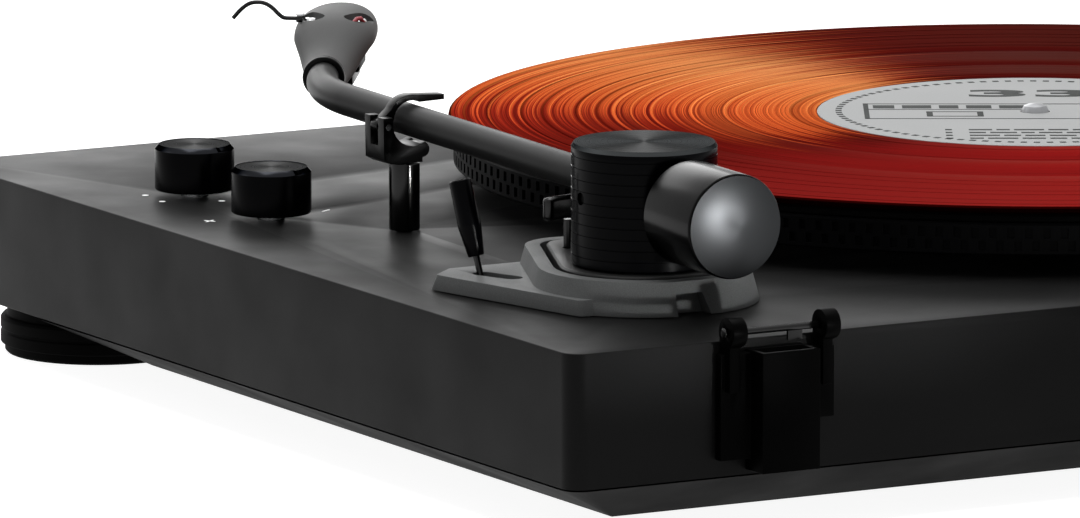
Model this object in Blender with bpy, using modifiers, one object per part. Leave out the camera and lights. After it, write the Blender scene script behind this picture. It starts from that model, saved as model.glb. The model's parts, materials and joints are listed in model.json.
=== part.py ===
"""A belt-driven turntable with a straight tonearm, piece by piece at its real size.

Metres, +Z up. The origin is under the middle of the whole object, on the surface that the feet
stand on. +X is the right-hand side, where the arm is, and +Y is the rear. Heights that are named
"above the deck" count from the top face of the plinth.
"""

import math

import bmesh
import bpy
from mathutils import Vector

# Shared gaps and counts
CLEARANCE = 0.0003
CUT_OVERRUN = 0.002
WELD = 0.000002
ROUND_STEPS = 32
LARGE_STEPS = 72
CORNER_STEPS = 6
ARC_STEPS = 10

# Plinth
PLINTH_WIDTH = 0.420
PLINTH_DEPTH = 0.332
PLINTH_HEIGHT = 0.0332
PLINTH_CORNER_RADIUS = 0.005
PLINTH_EDGE_BREAK = 0.0004
PLINTH_WALL = 0.014
DECK_THICKNESS = 0.012

# Bottom cover, a tray that tapers inwards all round
COVER_HEIGHT = 0.0122
COVER_TAPER = 0.0258
COVER_WALL = 0.003
COVER_LIP = 0.006
FOOT_POCKET_RADIUS = 0.040
GROUND_GAP = 0.0023

# Feet
FRONT_FOOT_INSET_X = 0.0311
FRONT_FOOT_INSET_Y = 0.0277
FOOT_BASE_RADIUS = 0.0246
FOOT_RIM_RADIUS = 0.0257
FOOT_NECK_RADIUS = 0.0240
FOOT_BASE_HEIGHT = 0.0026
FOOT_RIM_TOP = 0.0090
FOOT_FILLET = 0.0006
FOOT_STUD_RADIUS = 0.004
FOOT_STUD_LENGTH = 0.008
REAR_FOOT_INSET_X = 0.065
REAR_FOOT_INSET_Y = 0.080
REAR_FOOT_RADIUS = 0.016
REAR_FOOT_PEG = 0.005

# Platter, mat, record and drive
SPINDLE_INSET_X = 0.2308
SPINDLE_INSET_Y = 0.1669
SPINDLE_RADIUS = 0.0035
SPINDLE_CROWN = 0.0014
SPINDLE_PROUD = 0.0022
SPINDLE_COLLAR_RADIUS = 0.006
SPINDLE_COLLAR_HEIGHT = 0.0007
SPINDLE_DEPTH = 0.026
HUB_FIT = 0.0003
PLATTER_RADIUS = 0.1495
PLATTER_BOTTOM = 0.0055
PLATTER_HEIGHT = 0.0081
PLATTER_WEB = 0.003
PLATTER_RIM_WALL = 0.009
PLATTER_EDGE_BREAK = 0.0006
MAT_RADIUS = 0.1490
MAT_THICKNESS = 0.002
RECORD_RADIUS = 0.1508
RECORD_THICKNESS = 0.0018
RECORD_EDGE = 0.0004
LABEL_RADIUS = 0.0560
LABEL_RECESS = 0.0006
LABEL_THICKNESS = 0.0003
BEARING_RADIUS = 0.008
BEARING_FLANGE_RADIUS = 0.016
BEARING_FLANGE_THICKNESS = 0.0006
BEARING_FLOOR = 0.0026
DRIVE_RING_RADIUS = 0.093
DRIVE_RING_WALL = 0.004
DRIVE_RING_BOTTOM = 0.0025
DRIVE_WEB = 0.003
DRIVE_HUB_RADIUS = 0.012
MOTOR_RING_GAP = 0.022
MOTOR_DISTANCE = DRIVE_RING_RADIUS + MOTOR_RING_GAP
MOTOR_BEARING_DEG = 140.0
MOTOR_RADIUS = 0.018
MOTOR_HEIGHT = 0.017
MOTOR_BOSS_RADIUS = 0.0032
PULLEY_RADIUS = 0.006
PULLEY_FLANGE = 0.0014
PULLEY_FLANGE_THICKNESS = 0.0005
MOTOR_SHAFT_RADIUS = 0.0012
MOTOR_SHAFT_GRIP = 0.008
BELT_WIDTH = 0.005
BELT_BOTTOM = 0.003
BELT_THICKNESS = 0.0008

# Control knobs and what they turn
KNOB_INSET_X = 0.0314
SELECTOR_INSET_Y = 0.2517
PITCH_INSET_Y = 0.2101
KNOB_RADIUS = 0.01015
KNOB_HEIGHT = 0.0117
KNOB_STANDOFF = 0.0017
KNOB_CHAMFER = 0.0011
KNOB_SHAFT_RADIUS = 0.0033
KNOB_SHAFT_GRIP = 0.009
KNOB_SHAFT_DEPTH = 0.019
KNOB_NOTCH_WIDTH = 0.0011
KNOB_NOTCH_DEPTH = 0.0011
KNOB_POINTER_DEG = 102.0
SWITCH_SIZE = 0.017
SWITCH_HEIGHT = 0.012
SWITCH_ROOM_GAP = 0.0008

# Arm pivot, its moulded base and the plate in it
PIVOT_INSET_X = 0.0542
PIVOT_INSET_Y = 0.0600
PIVOT_HEIGHT = 0.0262
ARM_REST_TILT_DEG = 0.8
BASE_RADIUS = 0.0282
BASE_NOSE_RADIUS = 0.0147
BASE_NOSE_REACH = 0.0340
BASE_REAR_FLAT = 0.0275
BASE_HEIGHT = 0.0085
BASE_TAPER = 0.0022
BASE_FLOOR = 0.0030
BASE_RIM = 0.0037
PLATFORM_HEIGHT = 0.0040
PLATFORM_TAPER = 0.0014
PLATFORM_TIP_X = 0.0397
PLATFORM_TIP_Y = 0.0360
PLATFORM_FRONT_X = 0.0320
PLATFORM_FRONT_Y = 0.0430
PLATFORM_REAR_X = 0.0268
PLATFORM_REAR_Y = 0.0160
PLATFORM_ROUND = 0.0018
NOTCH_CENTRE_X = 0.0015
NOTCH_FOOT_WIDTH = 0.0092
NOTCH_TOP_WIDTH = 0.0056
NOTCH_HEIGHT = 0.0056
NOTCH_DEPTH = 0.0045
PLATE_GAP = 0.0016
PLATE_PROUD = 0.0004
PLATE_EDGE = 0.0005
HOUSING_RADIUS = 0.01785
HOUSING_BOTTOM = 0.0093
HOUSING_HEIGHT = 0.0297
HOUSING_CHAMFER = 0.0005
HOUSING_CHAMFER_DROP = 0.0009
HOUSING_CEILING = 0.002
ARM_SLOT_WIDTH = 0.0090
ARM_SLOT_BELOW = 0.0060
ARM_SLOT_ABOVE = 0.0062
BEARING_POST_RADIUS = 0.006
BEARING_POST_DEPTH = 0.024
BEARING_POST_FLANGE = 0.010
BEARING_POST_FLANGE_THICKNESS = 0.003
PIVOT_SCREW_RADIUS = 0.0013
PIVOT_SCREW_RECESS = 0.0007

# Arm tube
TUBE_RADIUS = 0.00405
TUBE_WALL = 0.0009
TUBE_REAR = 0.0165
TUBE_STRAIGHT = 0.1495
TUBE_BEND_RADIUS = 0.062
TUBE_BEND_DEG = 34.0
TUBE_SPIGOT = 0.0085
COLLAR_RADIUS = 0.00545
COLLAR_THICKNESS = 0.0018

# Counterweight
WEIGHT_RADIUS = 0.01285
WEIGHT_START = 0.0215
WEIGHT_LENGTH = 0.0225
WEIGHT_DROP = 0.0013
WEIGHT_EDGE = 0.0004
WEIGHT_BORE_FLOOR = 0.002
WEIGHT_CAP_THICKNESS = 0.0018
WEIGHT_CAP_EDGE = 0.0006
WEIGHT_SHAFT_RADIUS = 0.0028
WEIGHT_SHAFT_START = 0.0080
WEIGHT_SHAFT_END = 0.0385

# Headshell, cartridge and finger lift, along the headshell from the collar
SHELL_LENGTH = 0.0540
SHELL_HALF_WIDTH = 0.0106
SHELL_TOP = 0.0122
SHELL_ROOF = 0.0029
SHELL_POCKET_START = 0.0252
SHELL_POCKET_END = 0.0450
SHELL_POCKET_HALF_WIDTH = 0.0078
SHELL_SLOT_PITCH = 0.00635
SHELL_SLOT_LENGTH = 0.0110
SHELL_SLOT_WIDTH = 0.0044
SHELL_SLOT_CENTRE = 0.0305
SHELL_SLOT_TURN_DEG = 30.0
SHELL_RING_POINTS = 24
SECTION_LENGTH_SHARES = (0.0, 0.07, 0.15, 0.23, 0.32, 0.40, 0.47, 0.55, 0.67, 0.82, 0.93, 1.0)
SECTION_WIDTH_SHARES = (0.51, 0.54, 0.59, 0.67, 0.78, 0.90, 0.98, 1.0, 0.97, 0.81, 0.54, 0.21)
SECTION_TOP_SHARES = (0.443, 0.46, 0.52, 0.63, 0.79, 0.90, 0.955, 0.99, 1.0, 0.98, 0.915, 0.80)
SECTION_WAIST_SHARES = (0.0, 0.02, 0.05, 0.12, 0.25, 0.36, 0.43, 0.49, 0.57, 0.63, 0.67, 0.69)
SECTION_BOTTOM_SHARES = (-0.443, -0.443, -0.42, -0.36, -0.14, 0.12, 0.26, 0.34, 0.43, 0.50,
                         0.57, 0.63)
SECTION_SQUARENESS = (2.0, 2.0, 2.05, 2.1, 2.2, 2.3, 2.3, 2.3, 2.3, 2.3, 2.2, 2.0)
CARTRIDGE_START = 0.0255
CARTRIDGE_LENGTH = 0.0192
CARTRIDGE_HALF_WIDTH = 0.0074
CARTRIDGE_HEIGHT = 0.0118
CARTRIDGE_EDGE = 0.0008
STYLUS_HOLDER_START = 0.0260
STYLUS_HOLDER_HALF_WIDTH = 0.0050
STYLUS_HOLDER_HEIGHT = 0.0036
STYLUS_HOLDER_EDGE = 0.0007
STYLUS_REACH = 0.0445
STYLUS_NOSE = 0.0030
STYLUS_HOLDER_LENGTH = STYLUS_REACH + STYLUS_NOSE - STYLUS_HOLDER_START
STYLUS_LENGTH = 0.0014
STYLUS_RADIUS = 0.0006
CARTRIDGE_SCREW_RADIUS = 0.0012
CARTRIDGE_SCREW_HEAD_RADIUS = 0.0017
CARTRIDGE_SCREW_HEAD_HEIGHT = 0.0012
CARTRIDGE_SCREW_LENGTH = 0.0040
LIFT_LUG_START = 0.0282
LIFT_LUG_WIDTH = 0.0040
LIFT_LUG_INNER = 0.0083
LIFT_LUG_OUTER = 0.0100
LIFT_LUG_THICKNESS = 0.0016
LIFT_WIRE_RADIUS = 0.00055
LIFT_WIRE_REACH = 0.0265
LIFT_WIRE_RISE = 0.0040
LIFT_WIRE_SHARES = (
    (0.00, 0.00), (0.20, 0.00), (0.27, 0.06), (0.34, 0.30), (0.43, 0.68), (0.53, 0.93),
    (0.64, 1.00), (0.76, 0.90), (0.88, 0.52), (1.00, -0.08),
)

# Arm rest: post, cradle head and clip
REST_INSET_X = 0.0522
REST_INSET_Y = 0.1781
POST_RADIUS = 0.0039
POST_TOP = 0.0173
POST_STUD_RADIUS = 0.002
POST_STUD_LENGTH = 0.009
HEAD_NEAR_INSET_Y = 0.1747
HEAD_PLATE = 0.0030
HEAD_GAP = 0.0040
HEAD_FAR_PLATE = 0.0028
HEAD_BOTTOM = 0.0176
HEAD_FLOOR = 0.0222
CRADLE_RADIUS = 0.0061
CRADLE_SHIFT_X = 0.0010
EAR_OUTER_X = 0.0098
EAR_INNER_X = 0.0070
EAR_TOP = 0.0015
EAR_FOOT_X = 0.0096
EAR_FOOT_Z = 0.0092
LIP_X = 0.0014
LIP_TOP = 0.0051
LIP_ROUND = 0.0020
LIP_START_DEG = 115.0
CRADLE_LIP_DEG = 58.5
CLIP_PIN_X = 0.0083
CLIP_PIN_DROP = 0.0009
CLIP_PIN_RADIUS = 0.0008
CLIP_HUB_RADIUS = 0.0017
CLIP_INNER_RADIUS = 0.0050
CLIP_OUTER_RADIUS = 0.0065
CLIP_END_DEG = 62.0
CLIP_ROOT_DEG = 152.0
CLIP_INNER_ROOT_DEG = 176.0
TAB_REACH = 0.0094
TAB_BOTTOM = 0.0044
TAB_THICKNESS = 0.0013
TAB_RISE = 0.0002

# Cue lift
CUE_PIN_ANGLE_DEG = 9.7
CUE_ARC_RADIUS = 0.0293
CUE_ARC_WIDTH = 0.0030
CUE_ARC_HEIGHT = 0.0058
CUE_ARC_GAP = 0.0004
CUE_ARC_OUTER_DEG = 25.5
CUE_ARC_INNER_DEG = -43.0
CUE_PIN_RADIUS = 0.0012
CUE_PIN_FIT = 0.0003
CUE_PIN_DEPTH = 0.009
CUE_CYLINDER_RADIUS = 0.0035
CUE_CYLINDER_DEPTH = 0.0135
LEVER_INSET_X = 0.0283
LEVER_INSET_Y = 0.0868
LEVER_PIVOT_DEPTH = 0.006
LEVER_PIVOT_SHIFT = 0.0027
LEVER_SLOT_TURN_DEG = 23.0
LEVER_LEAN_DEG = 15.7
LEVER_SLOT_LENGTH = 0.0143
LEVER_SLOT_WIDTH = 0.0050
LEVER_WELL_LENGTH = 0.0170
LEVER_WELL_WIDTH = 0.0090
LEVER_HUB_RADIUS = 0.0030
LEVER_HUB_WIDTH = 0.0060
LEVER_PIN_RADIUS = 0.0010
LEVER_STALK_RADIUS = 0.0008
LEVER_STALK_LENGTH = 0.0175
LEVER_GRIP_START = 0.0147
LEVER_GRIP_LENGTH = 0.0191
LEVER_GRIP_LOW_RADIUS = 0.0020
LEVER_GRIP_HIGH_RADIUS = 0.0027
LEVER_GRIP_WAIST_RADIUS = 0.0029
LEVER_GRIP_WAIST_SHARE = 0.40
LEVER_GRIP_EDGE = 0.0003

# Dust cover hinges, one near each rear corner
HINGE_INSET_X = 0.0548
HINGE_BODY_WIDTH = 0.0160
HINGE_BODY_DEPTH = 0.0084
HINGE_BODY_SHIFT = 0.0010
HINGE_BODY_TOP = 0.0024
HINGE_BODY_BOTTOM = 0.0318
HINGE_SOCKET_WALL = 0.0013
HINGE_SOCKET_DEPTH = 0.0200
HINGE_PLATE_OUTER = 0.0153
HINGE_PLATE_INNER = 0.0162
HINGE_PLATE_THICKNESS = 0.0026
HINGE_PLATE_TOP = 0.0030
HINGE_PLATE_LOW = 0.0288
HINGE_PLATE_STEP = 0.0204
HINGE_EAR_RADIUS = 0.0037
HINGE_EAR_THICKNESS = 0.0040
HINGE_EAR_SPAN = 0.0218
HINGE_EAR_OUT = 0.0047
HINGE_EAR_CENTRE = 0.0027
HINGE_NECK_WIDTH = 0.0028
HINGE_NECK_DEPTH = 0.0052
HINGE_NECK_DROP = 0.0120
HINGE_ROD_RADIUS = 0.0009
HINGE_ROD_FIT = 0.00025
HINGE_ROD_HEAD_RADIUS = 0.0013
HINGE_ROD_HEAD_THICKNESS = 0.0005
HINGE_FIN_LENGTH = 0.0032
HINGE_FIN_WIDTH = 0.0040
HINGE_FIN_THICKNESS = 0.0008

# Connections at the rear
PANEL_CENTRE_X = -0.075
PANEL_WIDTH = 0.086
PANEL_HEIGHT = 0.020
PANEL_THICKNESS = 0.002
PANEL_DROP = 0.0150
JACK_OFFSET_SHARES = (-0.37, -0.19)
GROUND_OFFSET_SHARE = 0.07
POWER_OFFSET_SHARE = 0.35
JACK_RADIUS = 0.00415
JACK_FLANGE_RADIUS = 0.0056
JACK_FLANGE_THICKNESS = 0.0016
JACK_PROUD = 0.0074
JACK_TAIL_RADIUS = 0.0034
JACK_TAIL = 0.007
JACK_HOLE_RADIUS = 0.0017
JACK_HOLE_DEPTH = 0.0060
GROUND_NUT_RADIUS = 0.0042
GROUND_NUT_THICKNESS = 0.0034
GROUND_SCREW_RADIUS = 0.0017
GROUND_PROUD = 0.0068
POWER_RADIUS = 0.0050
POWER_PROUD = 0.0012
POWER_TAIL_RADIUS = 0.0042
POWER_TAIL = 0.011
POWER_BORE_RADIUS = 0.00315
POWER_BORE_DEPTH = 0.0090
POWER_PIN_RADIUS = 0.0010
POWER_PIN_SETBACK = 0.0015

# Circuit board under the deck
BOARD_LENGTH = 0.096
BOARD_WIDTH = 0.046
BOARD_THICKNESS = 0.0016
BOARD_CENTRE_X = 0.020
BOARD_FROM_REAR = 0.058
BOARD_STANDOFF = 0.006
BOARD_POST_RADIUS = 0.0025
BOARD_POST_INSET = 0.005

# Places that follow from the sizes above
RIGHT_X = PLINTH_WIDTH / 2
REAR_OVERHANG = CLEARANCE + HINGE_BODY_DEPTH
REAR_Y = (PLINTH_DEPTH - REAR_OVERHANG) / 2
FRONT_Y = REAR_Y - PLINTH_DEPTH
PLINTH_Y = (REAR_Y + FRONT_Y) / 2
COVER_TOP_Z = GROUND_GAP + COVER_HEIGHT
PLINTH_BOTTOM_Z = COVER_TOP_Z + CLEARANCE
DECK_Z = PLINTH_BOTTOM_Z + PLINTH_HEIGHT
CEILING_Z = DECK_Z - DECK_THICKNESS
UNDER_DECK_Z = CEILING_Z - CLEARANCE
SPINDLE_X = RIGHT_X - SPINDLE_INSET_X
SPINDLE_Y = REAR_Y - SPINDLE_INSET_Y
PIVOT_X = RIGHT_X - PIVOT_INSET_X
PIVOT_Y = REAR_Y - PIVOT_INSET_Y
PIVOT_Z = DECK_Z + PIVOT_HEIGHT
PLATTER_TOP = PLATTER_BOTTOM + PLATTER_HEIGHT
WEB_BOTTOM = PLATTER_TOP - PLATTER_WEB
MAT_BOTTOM = PLATTER_TOP + CLEARANCE
MAT_TOP = MAT_BOTTOM + MAT_THICKNESS
RECORD_BOTTOM = MAT_TOP + CLEARANCE
RECORD_TOP = RECORD_BOTTOM + RECORD_THICKNESS
BORE_RADIUS = SPINDLE_RADIUS + HUB_FIT
ARM_REST_TILT = math.radians(ARM_REST_TILT_DEG)
BEND = math.radians(TUBE_BEND_DEG)

COLOURS = {
    "wrap": ((0.035, 0.035, 0.037), 0.55, 0.0),
    "moulding": ((0.018, 0.018, 0.019), 0.50, 0.0),
    "satin": ((0.090, 0.092, 0.095), 0.42, 0.0),
    "gloss": ((0.008, 0.008, 0.009), 0.18, 0.0),
    "rubber": ((0.012, 0.012, 0.012), 0.80, 0.0),
    "anodised": ((0.016, 0.016, 0.019), 0.30, 0.9),
    "steel": ((0.55, 0.56, 0.58), 0.28, 1.0),
    "brass": ((0.62, 0.45, 0.18), 0.32, 1.0),
    "vinyl": ((0.62, 0.045, 0.010), 0.25, 0.0),
    "paper": ((0.50, 0.49, 0.47), 0.70, 0.0),
    "board": ((0.03, 0.16, 0.07), 0.55, 0.0),
}


def make_collection(name):
    """A new collection linked to the scene."""
    found = bpy.data.collections.new(name)
    bpy.context.scene.collection.children.link(found)
    return found


for old in list(bpy.data.objects):
    bpy.data.objects.remove(old, do_unlink=True)

PARTS = make_collection("turntable")
CUTTERS = make_collection("turntable cutters")


def make_material(name, finish):
    """A Principled material with one of the finishes."""
    colour, roughness, metallic = COLOURS[finish]
    material = bpy.data.materials.new(name + "_" + finish)
    material.use_nodes = True
    shader = material.node_tree.nodes["Principled BSDF"]
    shader.inputs["Base Color"].default_value = (*colour, 1.0)
    shader.inputs["Roughness"].default_value = roughness
    shader.inputs["Metallic"].default_value = metallic
    material.diffuse_color = (*colour, 1.0)
    return material


def link_mesh(name, mesh, location, parent, finish):
    """An object for a mesh: a part if it has a finish, and a cutter if it has none."""
    thing = bpy.data.objects.new(name, mesh)
    thing.location = location
    thing.parent = parent
    if finish:
        PARTS.objects.link(thing)
        mesh.materials.append(make_material(name, finish))
    else:
        CUTTERS.objects.link(thing)
        thing.hide_render = True
        thing.display_type = "WIRE"
    return thing


def make_empty(name, location, rotation=(0.0, 0.0, 0.0), parent=None):
    """An empty on a joint's axis, which carries the pieces that move with it."""
    empty = bpy.data.objects.new(name, None)
    empty.location = location
    empty.rotation_euler = rotation
    empty.parent = parent
    empty.empty_display_size = CUT_OVERRUN
    PARTS.objects.link(empty)
    return empty


def mesh_from(name, builder, smooth=False):
    """A mesh filled by a function that works on a bmesh."""
    shape = bmesh.new()
    builder(shape)
    mesh = bpy.data.meshes.new(name)
    shape.to_mesh(mesh)
    shape.free()
    if smooth:
        mesh.shade_smooth()
        mesh.set_sharp_from_angle(angle=math.radians(35.0))
    return mesh


def box(name, size, centre, finish=None, parent=None, bevel=0.0, turn=(0.0, 0.0, 0.0)):
    """A box of a size about a centre."""
    def build(shape):
        bmesh.ops.create_cube(shape, size=1.0)
        bmesh.ops.scale(shape, vec=Vector(size), verts=shape.verts)
    thing = link_mesh(name, mesh_from(name, build), centre, parent, finish)
    thing.rotation_euler = turn
    if bevel:
        add_bevel(thing, bevel, 2)
    return thing


AXIS_TURNS = {
    "X": (0.0, math.pi / 2, 0.0),
    "Y": (math.pi / 2, 0.0, 0.0),
    "Z": (0.0, 0.0, 0.0),
}


FACE_REAR = (-math.pi / 2, 0.0, 0.0)


def rod(name, radius, length, centre, axis="Z", finish=None, parent=None, steps=ROUND_STEPS):
    """A cylinder about a centre, along X, Y or Z."""
    def build(shape):
        bmesh.ops.create_cone(shape, cap_ends=True, segments=steps, radius1=radius,
                              radius2=radius, depth=length)
    thing = link_mesh(name, mesh_from(name, build, True), centre, parent, finish)
    thing.rotation_euler = AXIS_TURNS[axis]
    return thing


def turned(name, profile, location, finish=None, parent=None, steps=ROUND_STEPS, loop=False,
           turn=(0.0, 0.0, 0.0)):
    """A turned shape: (radius, height) points down its outer side, round its own Z axis."""
    def build(shape):
        points = [shape.verts.new((radius, 0.0, height)) for radius, height in profile]
        for first, second in zip(points, points[1:]):
            shape.edges.new((first, second))
        if loop:
            shape.edges.new((points[-1], points[0]))
    thing = link_mesh(name, mesh_from(name, build), location, parent, finish)
    thing.rotation_euler = turn
    screw = thing.modifiers.new("turn", "SCREW")
    screw.steps = steps
    screw.render_steps = steps
    screw.use_merge_vertices = True
    screw.merge_threshold = WELD
    screw.use_smooth_shade = True
    return thing


def add_bevel(thing, width, segments=1):
    """A bevel on the sharp edges of a thing."""
    bevel = thing.modifiers.new("edges", "BEVEL")
    bevel.width = width
    bevel.segments = segments
    bevel.limit_method = "ANGLE"
    bevel.angle_limit = math.radians(40.0)


def combine(thing, other, operation):
    """Join another body to a thing, or cut it out of the thing."""
    modifier = thing.modifiers.new(operation.lower(), "BOOLEAN")
    modifier.operation = operation
    modifier.solver = "EXACT"
    modifier.object = other
    return thing


def cut(thing, *cutters):
    """Cut each cutter out of a thing."""
    for cutter in cutters:
        combine(thing, cutter, "DIFFERENCE")
    return thing


def join(thing, *others):
    """Join each helper body to a thing."""
    for other in others:
        combine(thing, other, "UNION")
    return thing


def curve_mesh(name, curve, smooth):
    """The mesh of a curve, with its caps welded."""
    guide = bpy.data.objects.new(name, curve)
    CUTTERS.objects.link(guide)
    graph = bpy.context.evaluated_depsgraph_get()
    mesh = bpy.data.meshes.new_from_object(guide.evaluated_get(graph))
    bpy.data.objects.remove(guide, do_unlink=True)
    shape = bmesh.new()
    shape.from_mesh(mesh)
    bmesh.ops.remove_doubles(shape, verts=shape.verts, dist=WELD)
    bmesh.ops.recalc_face_normals(shape, faces=shape.faces)
    shape.to_mesh(mesh)
    shape.free()
    if smooth:
        mesh.shade_smooth()
        mesh.set_sharp_from_angle(angle=math.radians(35.0))
    return mesh


def plate(name, outlines, thickness, location, finish=None, parent=None, turn=(0.0, 0.0, 0.0)):
    """A flat outline, with any inner outlines as holes, given a thickness about its middle."""
    curve = bpy.data.curves.new(name, "CURVE")
    curve.dimensions = "2D"
    curve.fill_mode = "BOTH"
    curve.extrude = thickness / 2
    for outline in outlines:
        spline = curve.splines.new("POLY")
        spline.points.add(len(outline) - 1)
        spline.use_cyclic_u = True
        for point, (across, along) in zip(spline.points, outline):
            point.co = (across, along, 0.0, 1.0)
    mesh = curve_mesh(name, curve, False)
    mesh.shade_smooth()
    mesh.set_sharp_from_angle(angle=math.radians(35.0))
    thing = link_mesh(name, mesh, location, parent, finish)
    thing.rotation_euler = turn
    return thing


def tube(name, points, radius, location=(0.0, 0.0, 0.0), finish=None, parent=None, rounds=3):
    """A round bar through points, with filled ends."""
    curve = bpy.data.curves.new(name, "CURVE")
    curve.dimensions = "3D"
    curve.bevel_depth = radius
    curve.bevel_resolution = rounds
    curve.use_fill_caps = True
    spline = curve.splines.new("POLY")
    spline.points.add(len(points) - 1)
    for point, place in zip(spline.points, points):
        point.co = (*place, 1.0)
    return link_mesh(name, curve_mesh(name, curve, True), location, parent, finish)


def loft(name, rings, location, finish=None, parent=None, smooth=True):
    """A closed skin over rings of equal counts, from the first to the last, capped at both."""
    def build(shape):
        rows = [[shape.verts.new(point) for point in ring] for ring in rings]
        for lower, upper in zip(rows, rows[1:]):
            for index in range(len(lower)):
                after = (index + 1) % len(lower)
                shape.faces.new((lower[index], lower[after], upper[after], upper[index]))
        shape.faces.new(rows[0][::-1])
        shape.faces.new(rows[-1])
        bmesh.ops.recalc_face_normals(shape, faces=shape.faces)
    return link_mesh(name, mesh_from(name, build, smooth), location, parent, finish)


def arc(centre, radius, start, end, steps):
    """Points on an arc, angles in radians, both ends included."""
    points = []
    for step in range(steps + 1):
        angle = start + (end - start) * step / steps
        points.append((centre[0] + radius * math.cos(angle),
                       centre[1] + radius * math.sin(angle)))
    return points


def rounded_rectangle(width, depth, radius):
    """A rectangle about the origin with arcs for corners, anticlockwise from the rear right."""
    outline = []
    for quarter, (side, end) in enumerate(((1, 1), (-1, 1), (-1, -1), (1, -1))):
        centre = (side * (width / 2 - radius), end * (depth / 2 - radius))
        start = quarter * math.pi / 2
        outline += arc(centre, radius, start, start + math.pi / 2, CORNER_STEPS)
    return outline


def rounded_corners(corners, radius, steps=4):
    """A polygon whose corners are arcs of one radius."""
    outline = []
    count = len(corners)
    for index in range(count):
        corner = Vector(corners[index])
        before = (Vector(corners[index - 1]) - corner).normalized()
        after = (Vector(corners[(index + 1) % count]) - corner).normalized()
        half = before.angle(after) / 2
        reach = radius / math.tan(half)
        start = corner + before * reach
        end = corner + after * reach
        middle = corner + (before + after).normalized() * (radius / math.sin(half))
        first = math.atan2(start.y - middle.y, start.x - middle.x)
        sweep = math.atan2(end.y - middle.y, end.x - middle.x) - first
        sweep = (sweep + math.pi) % (2 * math.pi) - math.pi
        outline += arc(middle, radius, first, first + sweep, steps)
    return outline


def teardrop(inset):
    """The arm base's outline about the pivot, drawn in by an inset: a round, a nose, a flat."""
    radius = BASE_RADIUS - inset
    nose = BASE_NOSE_RADIUS - inset
    flat = BASE_REAR_FLAT - inset
    lean = math.asin((BASE_RADIUS - BASE_NOSE_RADIUS) / BASE_NOSE_REACH)
    top = math.asin(flat / radius)
    right = arc((0.0, 0.0), radius, top, -lean, ARC_STEPS)
    tip = arc((0.0, -BASE_NOSE_REACH), nose, -lean, lean - math.pi, ARC_STEPS)
    left = arc((0.0, 0.0), radius, lean - math.pi, -math.pi - top, ARC_STEPS)
    return right + tip + left


def at_height(outline, height):
    """An outline's points at a height."""
    return [(across, along, height) for across, along in outline]


def build_plinth():
    """The plinth, a slab milled out from below, with solid pads over the front feet."""
    middle = (0.0, PLINTH_Y, PLINTH_BOTTOM_Z + PLINTH_HEIGHT / 2)
    outline = rounded_rectangle(PLINTH_WIDTH, PLINTH_DEPTH, PLINTH_CORNER_RADIUS)
    plinth = plate("plinth", [outline], PLINTH_HEIGHT, middle, "wrap")
    add_bevel(plinth, PLINTH_EDGE_BREAK)
    hollow = PLINTH_HEIGHT - DECK_THICKNESS + CUT_OVERRUN
    cavity = box("plinth_cavity",
                 (PLINTH_WIDTH - 2 * PLINTH_WALL, PLINTH_DEPTH - 2 * PLINTH_WALL, hollow),
                 (0.0, PLINTH_Y, CEILING_Z - hollow / 2))
    for side in (-1, 1):
        pad = rod("pad_keeper", FOOT_POCKET_RADIUS + COVER_WALL, 2 * PLINTH_HEIGHT,
                  (side * (RIGHT_X - FRONT_FOOT_INSET_X), FRONT_Y + FRONT_FOOT_INSET_Y, CEILING_Z))
        cut(cavity, pad)
    room = SWITCH_SIZE + 2 * SWITCH_ROOM_GAP
    for inset_y in (SELECTOR_INSET_Y, PITCH_INSET_Y):
        join(cavity, box("switch_room", (room, room, hollow),
                         (RIGHT_X - KNOB_INSET_X, REAR_Y - inset_y, CEILING_Z - hollow / 2)))
    cut(plinth, cavity)
    deep = DECK_THICKNESS + 2 * CUT_OVERRUN
    centre_z = DECK_Z - DECK_THICKNESS / 2
    holes = (
        (SPINDLE_X, SPINDLE_Y, BEARING_RADIUS + CLEARANCE),
        (*motor_place(), MOTOR_BOSS_RADIUS),
        (RIGHT_X - KNOB_INSET_X, REAR_Y - SELECTOR_INSET_Y, KNOB_SHAFT_RADIUS + CLEARANCE),
        (RIGHT_X - KNOB_INSET_X, REAR_Y - PITCH_INSET_Y, KNOB_SHAFT_RADIUS + CLEARANCE),
        (PIVOT_X, PIVOT_Y, BEARING_POST_RADIUS + CLEARANCE),
        (*cue_pin_place(), CUE_CYLINDER_RADIUS + CLEARANCE),
        (RIGHT_X - REST_INSET_X, REAR_Y - REST_INSET_Y, POST_STUD_RADIUS + CLEARANCE),
    )
    for x, y, radius in holes:
        cut(plinth, rod("deck_hole", radius, deep, (x, y, centre_z)))
    cut(plinth, box("lever_well", (LEVER_WELL_WIDTH, LEVER_WELL_LENGTH, deep),
                    (*lever_place(), centre_z), turn=(0.0, 0.0, lever_turn())))
    stud_depth = FOOT_STUD_LENGTH + CLEARANCE
    for side in (-1, 1):
        cut(plinth, rod("stud_hole", FOOT_STUD_RADIUS + CLEARANCE, 2 * stud_depth,
                        (side * (RIGHT_X - FRONT_FOOT_INSET_X), FRONT_Y + FRONT_FOOT_INSET_Y,
                         PLINTH_BOTTOM_Z)))
    cut(plinth, box("panel_window",
                    (PANEL_WIDTH + 2 * CLEARANCE, 2 * PLINTH_WALL, PANEL_HEIGHT + 2 * CLEARANCE),
                    (PANEL_CENTRE_X, REAR_Y - PLINTH_WALL + CUT_OVERRUN, DECK_Z - PANEL_DROP)))


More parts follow.
